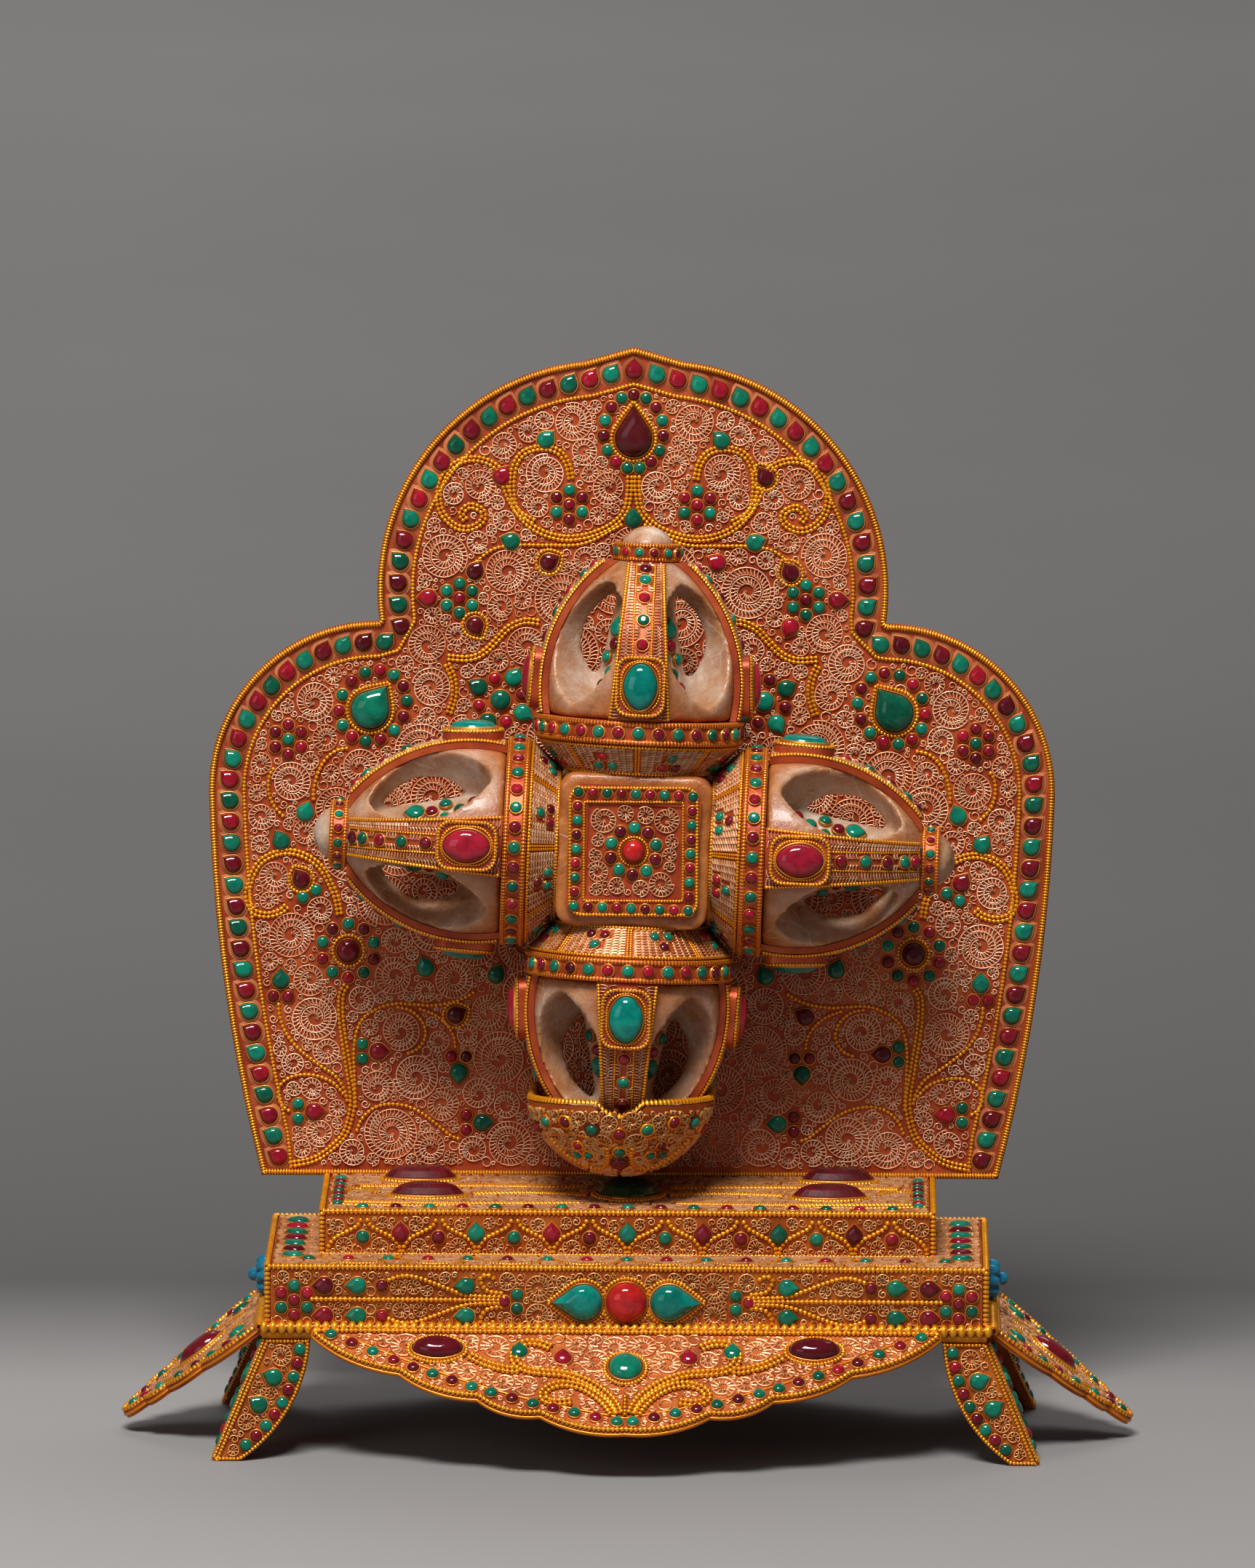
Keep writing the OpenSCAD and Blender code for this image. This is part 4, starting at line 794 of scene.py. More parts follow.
# Rows of beads in each line of the apron's left half and its course below the plinth, which hides its head
APRON_HEAD = 3
APRON_LINES = [
    (2, [(-21.8, 4.3), (-25.2, 2.4), (-29.6, 2.4), (-32.6, 5.9), (-32.2, 10.7), (-28.9, 13.6), (-23.7, 14.6),
         (-17.8, 15.3), (-11.8, 18), (-6.7, 22.3), (-3.2, 27.3), (-1.6, 32)]),
    (2, [(-46, 7.6), (-40.7, 11.2), (-34.8, 13.4), (-31, 13.6)]),
    (2, [(-3.4, 32), (-5.5, 27.8), (-8.8, 23.8), (-13, 20.6), (-17.8, 19.4), (-21.8, 20.6), (-24, 23.5),
         (-23.3, 26.2), (-20, 27.2), (-15.5, 26.6)]),
    (1, [(0, 24), (0, 28), (0, 33)]),
]
# A line of a side apron and the line inside all edges, as shares of the apron's length and half width
APRON_SIDE = [(-4, 0.3), (-12, 0.42), (-16, 0.62), (-9, 0.86), (-3, 0.8)]
APRON_INSIDE = [(0.9, 0.06), (0.7, 0.3), (0.46, 0.55), (0.26, 0.71), (0, 0.86)]
# Lines on the tier top: start and end across, share of the depth, bow, rows of beads
TOP_LINES = [(12, 46, 0.42, 3, 3), (46, 88, 0.13, -2, 1), (12, 80, 0.62, 2, 3), (14, 84, 0.2, -2, 2),
             (74, 86, 0.45, 6, 2)]


def dress_tiers():
    """Lines and scrolls on the walls and the tops of both tiers."""
    for toward, fine, radii in (((0, -1, 0), 1, SMALL), ((-1, 0, 0), 1, SMALL), ((1, 0, 0), 1, SMALL),
                                ((0, 1, 0), 1.3, COARSE)):
        low = Dress(Face("lower_tier", toward), stand, "lower_tier")
        high = Dress(Face("upper_tier", toward), stand, "upper_tier")
        if toward[1] < 0:
            mid = low.face.high / 2
            for s in (-1, 1):
                for points in FRONT_LINES:
                    low.line([(x, mid + s * y) for x, y in points], 1, *FRONT_LINE)
            low.line([(x, mid + y) for x, y in FRONT_MIDDLE], 1, *FRONT_LINE)
            arches(high, high.face.wide - 0.6, high.face.high)
        low.fill(radii, 0.2, fine)
        high.fill(radii, 0.2, fine)
    top = Dress(Face("upper_tier", (0, 0, 1)), stand, "upper_top")
    deep = top.face.high
    for x0, x1, y, bow, rows in TOP_LINES:
        xs = np.linspace(x0, x1, 5)
        points = [(-x, y * deep + bow * math.sin(math.pi * (x - x0) / (x1 - x0))) for x in xs]
        top.line(points, rows, *TOP_LINE)
    top.fill(SMALL, 0.3)
    ledge = Dress(Face("lower_tier", (0, 0, 1)), stand, "ledge")
    u0, u1 = (ledge.face.at(corner) for corner in box_of("upper_tier"))
    hole = np.array([(u0[0], u0[1]), (u1[0], u0[1]), (u1[0], u1[1] + 5), (u0[0], u1[1] + 5)])
    scallop(ledge, u0, u1)
    ledge.fill(SMALL, 0.4, loops=[ledge.face.loops[0], hole])


def scallop(ledge, u0, u1):
    """Beaded arcs on the front ledge, one before each arch, and a line along the foot of the upper tier."""
    pitch = (u1[0] - u0[0]) / ARCHES
    arc = np.radians(np.linspace(8, 172, 9))
    for k in range(ARCHES):
        mid = u0[0] + (k + 0.5) * pitch
        points = [(mid - 0.49 * pitch * math.cos(a), u0[1] - 1.2 - (u0[1] - 3.4) * math.sin(a) ** 0.7)
                  for a in arc]
        ledge.line(points, 1, *SCALLOP_LINE, mirror=False)
    foot = u0[1] - 0.7
    ledge.line([(u0[0], foot), (0, foot), (u1[0], foot)], 1, *LEDGE_LINE, mirror=False)


def dress_aprons():
    """Edges, lines and scrolls of the four aprons."""
    for node, toward in (("front_apron", (0, -1, 1)), ("rear_apron", (0, 1, 1)), ("left_apron", (-1, 0, 1)),
                         ("right_apron", (1, 0, 1))):
        front = node == "front_apron"
        side = node in ("left_apron", "right_apron")
        dress = Dress(Face(node, toward), stand, "apron_sides" if side else node)
        outline = dress.face.outline()
        dress.edge(outline, 0.8, *APRON_EDGE)
        dress.rim(outline, 1.1, 0.45)
        long = dress.face.high
        reach = dress.face.wide / 2
        dress.wire([(-a * reach, long * (1 - b)) for a, b in APRON_INSIDE], 0.35)
        if side:
            dress.line([(x, d * long) for x, d in APRON_SIDE], 2, *APRON_SIDE_LINE)
        else:
            seen = 1 - APRON_HEAD / long
            for rows, points in APRON_LINES:
                dress.line([(x, long - APRON_HEAD - d * seen) for x, d in points], rows, *APRON_LINE)
        dress.fill(SMALL if front or side else COARSE, 0.5, 1.3)


def dress_legs():
    """Edges and scrolls of the two faces of each leg."""
    for x in (-1, 1):
        for y in (-1, 1):
            node = f"{'front' if y < 0 else 'rear'}_{'left' if x < 0 else 'right'}_leg"
            for toward in ((0, y, 0.15), (x, 0, 0.4)):
                dress = Dress(Face(node, toward), stand, "legs")
                dress.edge(dress.face.outline(), 0.65, *LEG_EDGE)
                dress.fill(SMALL, 0.7)


def box_edges(piece, low, high, r, pitch, posts=True):
    """Beaded wires along the top edges and the corner posts of a box."""
    (x0, y0, z0), (x1, y1, z1) = low, high
    mid_x, mid_y = (x0 + x1) / 2, (y0 + y1) / 2
    ring = [(x0, y0), (x1, y0), (x1, y1), (x0, y1)]
    for (ax, ay), (bx, by) in zip(ring, ring[1:] + ring[:1]):
        out = unit(np.array([(ax + bx) / 2 - mid_x, (ay + by) / 2 - mid_y, 0]))
        path = even(np.array([(ax, ay, z1), (bx, by, z1)]), 1.0)
        beads(piece, path, unit(out + (0, 0, 1.0)), r, pitch, lift=0)
    if posts:
        for ax, ay in ring:
            out = unit(np.array([ax - mid_x, (ay - mid_y) * 3, 0]))
            path = even(np.array([(ax, ay, z0), (ax, ay, z1)]), 1.0)
            beads(piece, path, out, r, pitch, lift=0)


def tier_edges(name):
    """Beaded edges of the lower or the upper tier."""
    piece = Piece()
    box_edges(piece, *box_of(f"{name}_tier"), *TIER_EDGE)
    return piece


def plinth_edges():
    """Heavy beads around the plinth."""
    piece = Piece()
    low, high = box_of("plinth_frame")
    box_edges(piece, low, high + (0, 0, 0.3), (high[2] - low[2]) / 2 + 0.15, 2.6, posts=False)
    return piece


# Cup

class Bowl:
    """Outside of the cup, unrolled from the middle of its front: x sideways and on toward the plate, y up."""

    def __init__(self, origin, axes):
        self.c = origin + CUP_R * axes[2]
        self.axes = axes

    def put(self, uv, h):
        """Points in space from flat points and their height above the cup."""
        slope = -uv[:, 1] / CUP_OUT
        bearing = uv[:, 0] / (CUP_OUT * np.cos(slope))
        front = np.clip(bearing, -math.pi / 2, math.pi / 2)
        d = np.stack([np.sin(front) * np.cos(slope), -np.cos(front) * np.cos(slope), -np.sin(slope)], axis=1)
        back = np.abs(bearing - front) * CUP_OUT * np.cos(slope)
        return self.c + (CUP_OUT + h) * d @ self.axes + back[:, None] * self.axes[1]

    def flat(self, bearing, slope):
        """Flat place from degrees around the cup and below its middle."""
        b, s = math.radians(bearing), math.radians(slope)
        return (CUP_OUT * math.cos(s) * b, -CUP_OUT * s)


# Left lobe and the wire above it, in degrees around the cup and below its middle
LOBE = [(-60, 34), (-56, 44), (-49, 54), (-37, 61), (-23, 61), (-13, 55), (-10, 47), (-10, 39)]
CUP_WIRE = [(-86, 35), (-68, 34), (-50, 32), (-34, 31), (-22, 33), (-10, 38), (0, 39.5)]


# Half of the field that filigree fills: place across the cup and degrees below its middle
CUP_FIELD = [(0, 80), (4.5, 80), (20, 62), (50, 62), (78, 14), (0, 14)]


def stones_on_cup(bowl):
    """Blocks for the stones that sit on the cup."""
    blocks = []
    off = np.abs(np.linalg.norm(stone_mid - bowl.c, axis=1) - CUP_OUT)
    for k in np.flatnonzero(off < 0.6):
        d = (stone_mid[k] - bowl.c) @ bowl.axes.T
        slope = -math.asin(d[2] / np.linalg.norm(d))
        x = CUP_OUT * math.cos(slope) * math.atan2(d[0], -d[1])
        blocks.append((x, -CUP_OUT * slope, stone_r[k] + 0.5))
    return blocks


def dress_cup(bowl):
    """Lobes, wires and filigree on the front of the cup."""
    gilt, fine = stand.beaded("cup"), stand.wire("cup")
    for s in (-1, 1):
        lobe = curve([bowl.flat(s * b, a) for b, a in LOBE])
        beads_on(gilt, lobe, bowl.put, *CUP_LOBE)
        wire = curve([bowl.flat(s * b, a) for b, a in CUP_WIRE])
        plain_wire(gilt, wire, bowl.put, 0.45)
        blocks = [(x, y, 0.8) for x, y in np.vstack([lobe, wire])[::2]] + stones_on_cup(bowl)
        edge = np.array([(s * x, -CUP_OUT * math.radians(a)) for x, a in CUP_FIELD])
        scrolls(fine, pack([edge], blocks, SMALL, 0.3), bowl.put)


def rim_height(x):
    """Height of the cup's rim over its lowest point, by place across the cup."""
    dip = CUP_DIP / 2 + 22 / CUP_DIP
    low = CUP_RIM - CUP_DIP + dip - np.sqrt(np.maximum(dip ** 2 - x ** 2, 0))
    return np.where(np.abs(x) < dip, np.minimum(low, CUP_RIM), CUP_RIM)


def cup_rim(origin, axes):
    """Heavy beaded wire on the cup's rim, from the plate round the front and back to the plate."""
    piece = Piece()
    r = CUP_R + 1.1
    a = np.radians(np.linspace(180, 360, 121))
    x, y = r * np.cos(a), r * np.sin(a)
    z = rim_height(np.where(np.abs(y) > 0.5 * r, x, 2 * r)) - 1
    # the bowl narrows below its middle
    thin = np.sqrt(np.maximum(r ** 2 - (z - CUP_R) ** 2, 1)) / r
    front = np.stack([x * thin, y * thin, z], axis=1)
    back = np.linspace(CUP_RUN - 1, 0.5, 30)
    left = np.stack([np.full(30, front[0, 0]), back, np.full(30, z[0])], axis=1)
    right = left[::-1] * (-1, 1, 1)
    path = np.vstack([left, front, right])
    beads(piece, origin + path @ axes, axes[2], *CUP_EDGE, lift=-0.1)
    return piece


# Vajra

class Head:
    """One head of the vajra: z outward along it, with ribs at 0, 90, 180 and 270 degrees."""

    def __init__(self, mid, axes):
        self.o, self.m = mid, axes

    def world(self, p):
        """Places in space of points given in the axes of the head."""
        return self.o + p @ self.m

    def round(self, a, rho, z):
        """Points in space by angle around the head, radius and place along it."""
        return self.world(np.stack(np.broadcast_arrays(rho * np.cos(a), rho * np.sin(a), z), axis=-1))


def strap_half(height):
    """Half width of a strap at a height over the foot of the cage."""
    return (STRAP_FOOT + (STRAP_TIP - STRAP_FOOT) * height / CAGE_L) / 2


class Strap:
    """Outer surface of one strap: x across and y along it."""

    def __init__(self, head, bearing):
        self.head, self.bearing = head, math.radians(bearing)
        self.r = OGIVE_R + STRAP_T
        self.start = math.asin(-OGIVE_Z / self.r)
        self.length = (math.asin((CAGE_L - OGIVE_Z) / self.r) - self.start) * self.r

    def put(self, uv, h):
        psi = self.start + uv[:, 1] / self.r
        rho = OGIVE_X + (self.r + h) * np.cos(psi)
        base = OGIVE_X + self.r * np.cos(psi)
        phi = self.bearing + np.arcsin(np.clip(uv[:, 0] / base, -1, 1))
        return self.head.round(phi, rho, CAGE_AT + OGIVE_Z + (self.r + h) * np.sin(psi))

    def half(self, v):
        """Half width of the strap at a place along it."""
        return strap_half(OGIVE_Z + self.r * np.sin(self.start + v / self.r))


class Setting(Flat):
    """Flat top of the raised setting under a large oval."""

    def __init__(self, head, bearing):
        a = math.asin((SETTING_AT - OGIVE_Z) / OGIVE_R)
        b = math.radians(bearing)
        spoke = np.array([math.cos(b), math.sin(b), 0])
        out = math.cos(a) * spoke + np.array([0, 0, math.sin(a)])
        level = OGIVE_R + STRAP_T + 0.1 + SETTING_T
        local = OGIVE_X * spoke + np.array([0, 0, CAGE_AT + OGIVE_Z]) + level * out
        self.o = head.world(local)
        self.n = out @ head.m
        self.x = np.array([-math.sin(b), math.cos(b), 0]) @ head.m
        self.y = np.cross(self.n, self.x)


def rounded(w, l, r):
    """Outline of a rectangle with round corners, counterclockwise."""
    a = np.radians(np.linspace(0, 90, 7))
    points = []
    for k, (sx, sy) in enumerate(((1, 1), (-1, 1), (-1, -1), (1, -1))):
        mid = (sx * (w / 2 - r), sy * (l / 2 - r))
        points.append(swirl(mid, r, a + k * math.pi / 2))
    return np.vstack(points)


# Rows of hooks: their pitch, length and width over that of their column
ROW_PITCH = 0.98
ROW_HOOK = 1.35
ROW_REACH = 1.12
# Strap: where its setting ends, beads in its middle, hooks between and beside them, plain edge
OVAL_TOP = 18
MIDDLE_AT = 2.7
MIDDLE_ROOT = 2.4
MIDDLE_HOOK = 1.6
SIDE_ROOT = 3.15
EDGE_INSET = 0.55
EDGE_FREE = 1.15
WIDEST_HOOK = 2.6
# Width, length and corner radius of the loops on a setting
SETTING_EDGE = (SETTING_W - 1.1, SETTING_L - 1.1, 3.6)
OVAL_LOOP = (11.4, 15.2, 5.6)
HOOK_LOOP = (12.6, 16.2, 4.4)


def dress_strap(head, bearing, name):
    """Beaded edges of a strap and of its setting. Gives back the hooks that its surface gets later."""
    gilt, fine = vajra.beaded(name), vajra.wire(name)
    strap = Strap(head, bearing)
    hooks = []
    v = np.linspace(0.6, strap.length - 1.2, 60)
    for s in (-1, 1):
        beads_on(gilt, flat_line(s * (strap.half(v) - EDGE_INSET), v), strap.put, *STRAP_EDGE)
        beads_on(gilt, flat_line(s * MIDDLE_AT, v[v > OVAL_TOP]), strap.put, *STRAP_MIDDLE)
        for y in np.arange(0.8, strap.length - 1.5, ROW_PITCH):
            if y > OVAL_TOP:
                hooks.append((s * MIDDLE_ROOT, y, -s * MIDDLE_HOOK))
            wide = float(strap.half(np.array(y))) - EDGE_FREE - SIDE_ROOT
            if wide > WIDEST_HOOK:
                hooks.append((s * SIDE_ROOT, y, s * wide / 2))
                hooks.append((s * (SIDE_ROOT + wide), y, -s * wide / 2))
            else:
                hooks.append((s * SIDE_ROOT, y, s * wide))
    setting = Setting(head, bearing)
    beads_on(gilt, closed(rounded(*SETTING_EDGE)), setting.put, *STRAP_EDGE)
    beads_on(gilt, closed(rounded(*OVAL_LOOP)), setting.put, *OVAL_EDGE)
    hooks_along(fine, setting.put, closed(rounded(*HOOK_LOOP), 1.1)[:-1], 0.95, -1.1)
    return fine, strap.put, hooks


def hooks_across(piece, put, hooks):
    """Hooks that stand across columns, given by place and width, where no stone is."""
    hooks = np.array(hooks)
    lines = np.stack([hooks[:, :1] + HOOK[None, :, 1] * hooks[:, 2:] * ROW_REACH,
                      hooks[:, 1:2] + ROW_HOOK * HOOK[None, :, 0]], axis=2)
    keep = clear_of_stones(put(lines[:, 2], 0.0), 0.3)
    fine_wire(piece, lines[keep], put)


def hooks_along(piece, put, loop, long, wide):
    """Hooks with their roots on the points of a loop."""
    along = unit(np.roll(loop, -1, axis=0) - loop)
    across = np.stack([-along[:, 1], along[:, 0]], axis=1)
    lines = (loop[:, None] + HOOK[None, :, :1] * along[:, None] * long
             + HOOK[None, :, 1:] * across[:, None] * wide)
    fine_wire(piece, lines, put)


class Collar:
    """Conical collar: x is the bearing times the middle radius, y runs out from the hub along the slope."""

    def __init__(self, head):
        self.head = head
        self.rise = BAND_R - 0.6 - COLLAR_R
        self.run = COLLAR_L - 0.2
        self.length = math.hypot(self.rise, self.run)
        self.mid = COLLAR_R + self.rise / 2

    def put(self, uv, h):
        f = uv[:, 1] / self.length
        c, s = self.run / self.length, self.rise / self.length
        return self.head.round(uv[:, 0] / self.mid, COLLAR_R + f * self.rise + h * c,
                               HUB_HALF + 0.1 + f * self.run - h * s)


# Collar: pairs of posts, half the way between the two of a pair, columns of hooks between pairs, plain margin
COLLAR_POSTS = 8
POST_HALF = 0.45
COLLAR_COLUMNS = 9
POST_MARGIN = 1.2


def dress_collar(head, name):
    """Beaded wires of a collar and of the bands. Gives back the hooks that the collar gets later."""
    gilt, fine = vajra.beaded(name), vajra.wire(name)
    collar = Collar(head)
    hooks = []
    around = 2 * math.pi * collar.mid
    sweep = np.linspace(0, around, 240)
    for y, sizes in ((0.55, COLLAR_FOOT), (collar.length - 0.5, COLLAR_HEAD)):
        beads_on(gilt, flat_line(sweep, y), collar.put, *sizes)
    up = np.linspace(0.9, collar.length - 0.8, 24)
    wide = (around / COLLAR_POSTS - 2 * POST_MARGIN) / COLLAR_COLUMNS
    for k in range(COLLAR_POSTS):
        x = around * k / COLLAR_POSTS
        for s in (-POST_HALF, POST_HALF):
            beads_on(gilt, flat_line(x + s, up), collar.put, *COLLAR_POST)
        for c in range(COLLAR_COLUMNS):
            for y in np.arange(1.2, collar.length - 1.6, ROW_PITCH):
                hooks.append((x + POST_MARGIN + c * wide, y, wide))
    for z in (BAND_AT + 0.8, BAND_AT + BAND_W - 0.8):
        ring_beads(gilt, head, BAND_R, z, *BAND_EDGE)
    for z in (NECK_AT + 0.7, NECK_AT + NECK_L - 0.6):
        ring_beads(gilt, head, NECK_R - 0.2, z, *NECK_EDGE)
    return fine, collar.put, hooks


def ring_beads(piece, head, rho, z, r, pitch):
    """Beaded ring around a head."""
    a = np.linspace(0, 2 * math.pi, 200)
    path = head.round(a, rho, z)
    out = head.round(a, rho + 1, z) - path
    beads(piece, path, out, r, pitch, ring=True, lift=0)


def dress_panel(toward):
    """Beaded edges, ring and filigree of a hub panel."""
    dress = Dress(Face("hub_panels", toward), vajra, "panel")
    mid = np.array([0, dress.face.high / 2])
    edge = dress.face.lifted(0.6, mid)
    outer, inner = PANEL_W - 1.2, dress.face.wide + 0.8
    beads_on(dress.gilt, closed(rounded(outer, outer, 3.6)), edge, *PANEL_EDGE)
    beads_on(dress.gilt, closed(rounded(inner, inner, 0.6)), edge, *PANEL_INNER)
    ring = swirl((0, 0), 4.2, np.radians(np.linspace(0, 360, 60)))
    beads_on(dress.gilt, ring, dress.face.lifted(0, mid), *CORAL_RING)
    dress.blocks.append((mid[0], mid[1], 4.8))
    dress.fill(PANEL, 0.3)


axes = np.stack([np.array([1.0, 0, 0]), -plate.n, plate.y])
roll = turn("y", ROLL).T @ axes
vajra_mid = sum(box_of("crystal_hub")) / 2
cup_origin = vajra_mid - VAJRA_HALF * roll[2] - CUP_PLAY * axes[2]
TURNS = {"top": np.eye(3), "bottom": turn("x", math.pi), "right": turn("y", math.pi / 2),
         "left": turn("y", -math.pi / 2)}
heads = {name: Head(vajra_mid, t.T @ roll) for name, t in TURNS.items()}
bowl = Bowl(cup_origin, axes)

dress_plate()
dress_tiers()
dress_aprons()
dress_legs()
dress_cup(bowl)
for name, head in heads.items():
    hooked = [dress_collar(head, f"collar_{name}")]
    hooked += [dress_strap(head, bearing, f"straps_{name}") for bearing in (0, 90, 180, 270)]
    for piece, put, hooks in hooked:
        hooks_across(piece, put, hooks)
dress_panel((0, -1, 0))
dress_panel((0, 1, 0))


# Materials

class Look:
    """A material with a principled shader and helpers for its textures."""

    def __init__(self, name, **values):
        self.material = bpy.data.materials.new(name)
        self.material.use_nodes = True
        self.nodes, self.links = self.material.node_tree.nodes, self.material.node_tree.links
        self.shader = self.nodes["Principled BSDF"]
        for key, value in values.items():
            self.shader.inputs[key.replace("_", " ")].default_value = value
        self.place = self.nodes.new("ShaderNodeTexCoord").outputs["Object"]

    def noise(self, scale, detail=4.0, rough=0.6):
        node = self.nodes.new("ShaderNodeTexNoise")
        node.inputs["Scale"].default_value = scale
        node.inputs["Detail"].default_value = detail
        node.inputs["Roughness"].default_value = rough
        self.links.new(self.place, node.inputs["Vector"])
        return node.outputs["Fac"]

    def cells(self, scale):
        """Distance to the nearest border between cells."""
        node = self.nodes.new("ShaderNodeTexVoronoi")
        node.feature = "DISTANCE_TO_EDGE"
        node.inputs["Scale"].default_value = scale
        self.links.new(self.place, node.inputs["Vector"])
        return node.outputs["Distance"]

    def tone(self, name="tone"):
        """Value that the points of a mesh carry."""
        node = self.nodes.new("ShaderNodeAttribute")
        node.attribute_name = name
        return node.outputs["Fac"]

    def ramp(self, source, stops):
        """Colours by a value, each with the place where it is reached."""
        node = self.nodes.new("ShaderNodeValToRGB")
        bar = node.color_ramp.elements
        while len(bar) < len(stops):
            bar.new(0.5)
        for slot, (at, colour) in zip(bar, stops):
            slot.position = at
            slot.color = tuple(colour) + (1,)
        self.links.new(source, node.inputs["Fac"])
        return node.outputs["Color"]

    def mix(self, share, a, b, blend="MIX"):
        node = self.nodes.new("ShaderNodeMix")
        node.data_type = "RGBA"
        node.blend_type = blend
        for socket, value in ((node.inputs[0], share), (node.inputs[6], a), (node.inputs[7], b)):
            if isinstance(value, bpy.types.NodeSocket):
                self.links.new(value, socket)
            else:
                socket.default_value = value
        return node.outputs[2]

    def colour(self, source):
        self.links.new(source, self.shader.inputs["Base Color"])
        return self

    def span(self, source, end, low, high):
        """Range of a value, with low and high as its ends on the From or the To side."""
        node = self.nodes.new("ShaderNodeMapRange")
        node.inputs[f"{end} Min"].default_value = low
        node.inputs[f"{end} Max"].default_value = high
        self.links.new(source, node.inputs["Value"])
        return node.outputs["Result"]

    def rough(self, source, low, high):
        self.links.new(self.span(source, "To", low, high), self.shader.inputs["Roughness"])
        return self

    def bump(self, source, strength, distance):
        node = self.nodes.new("ShaderNodeBump")
        node.inputs["Strength"].default_value = strength
        node.inputs["Distance"].default_value = distance
        self.links.new(source, node.inputs["Height"])
        self.links.new(node.outputs["Normal"], self.shader.inputs["Normal"])
        return self


def grey(value):
    """Colour without a hue."""
    return (value, value, value)


def metal(name, colours, rough, metallic, scale, at=(0.1, 0.5, 0.95), bump=0.2, toned=True):
    """Metal from dark to bright, by the tone of the piece or in patches, with a mottled surface; on wires and
    beads the dark end is painted shade and the bright end a painted highlight.
    """
    look = Look(name, Metallic=metallic)
    base = look.ramp(look.tone() if toned else look.noise(scale), list(zip(at, colours)))
    patches = look.ramp(look.noise(scale * 0.7), [(0.3, (0.78, 0.7, 0.66)), (0.62, grey(1.0))])
    look.colour(look.mix(0.8, base, patches, "MULTIPLY"))
    look.rough(look.noise(scale * 6), *rough)
    return look.bump(look.noise(scale * 25), bump, 0.0002)


def plain_metal(name, colours, rough, metallic, scale, bump=0.2):
    """Metal of a CAD piece, which has no tone, in patches."""
    return metal(name, colours, rough, metallic, scale, (0.3, 0.5, 0.72), bump, False)


def stone_look(name, dark, mid, light, rough=(0.05, 0.16)):
    """Polished stone, dark or light by the tone of each one, with clouds."""
    look = Look(name, Coat_Weight=0.12, Coat_Roughness=0.05, Specular_IOR_Level=0.35)
    tint = look.ramp(look.tone(), [(0.0, dark), (0.5, mid), (1.0, light)])
    cloud = look.ramp(look.noise(330, 5), [(0.35, grey(0.55)), (0.62, grey(1.1))])
    look.colour(look.mix(0.75, tint, cloud, "MULTIPLY"))
    look.rough(look.noise(700), *rough)
    return look.bump(look.noise(900), 0.06, 0.0002)


def crystal_look():
    """Cloudy crystal with spots and pale cracks, brown where metal has stained it, and paler inside its
    windows, where the stain fades as painted light.
    """
    look = Look("crystal", IOR=1.48, Subsurface_Weight=0.6, Subsurface_Scale=0.004, Transmission_Weight=0.15,
                Coat_Weight=0.2, Coat_Roughness=0.12)
    look.shader.inputs["Subsurface Radius"].default_value = (1.0, 0.68, 0.5)
    cloud = look.ramp(look.noise(48, 9, 0.72), [(0.38, (0.30, 0.115, 0.04)), (0.48, (0.52, 0.31, 0.18)),
                                                (0.56, (0.62, 0.44, 0.32)), (0.66, (0.80, 0.68, 0.56))])
    stain = look.ramp(look.noise(160, 5), [(0.3, (0.34, 0.08, 0.012)), (0.7, (0.56, 0.20, 0.045))])
    spots = look.ramp(look.noise(32, 8, 0.7), [(0.54, grey(0.0)), (0.68, grey(0.75))])
    body = look.mix(look.mix(1.0, look.tone("stain"), spots, "LIGHTEN"), cloud, stain)
    crack = look.ramp(look.cells(75), [(0.0, grey(1.0)), (0.018, grey(0.0))])
    patch = look.ramp(look.noise(45, 3), [(0.52, grey(0.0)), (0.62, grey(0.55))])
    pale = look.ramp(look.noise(300), [(0.3, (0.70, 0.50, 0.36)), (0.7, (0.90, 0.80, 0.70))])
    look.colour(look.mix(look.mix(1.0, crack, patch, "MULTIPLY"), body, pale))
    look.rough(look.noise(260), 0.14, 0.36)
    return look.bump(look.noise(70, 8, 0.65), 0.5, 0.003)


# Smallest and largest roughness of the metals
GROUND_ROUGH = (0.32, 0.5)
FINE_ROUGH = (0.25, 0.42)
GILT_ROUGH = (0.2, 0.36)
ground = plain_metal("copper_ground", [(0.26, 0.026, 0.005), (0.45, 0.06, 0.011), (0.60, 0.13, 0.034)],
                     GROUND_ROUGH, 0.45, 60, 0.4)
warm_ground = plain_metal("warm_ground", [(0.26, 0.04, 0.003), (0.44, 0.085, 0.006), (0.60, 0.17, 0.016)],
                          GROUND_ROUGH, 0.45, 60, 0.4)
# On toned wires and beads the first colour is painted shade, at wire feet and between beads, and the last a
# painted highlight on ridges and bead tops
wire = metal("filigree_wire", [(0.26, 0.032, 0.006), (0.90, 0.36, 0.14), (1.0, 0.80, 0.58)],
             FINE_ROUGH, 0.25, 45)
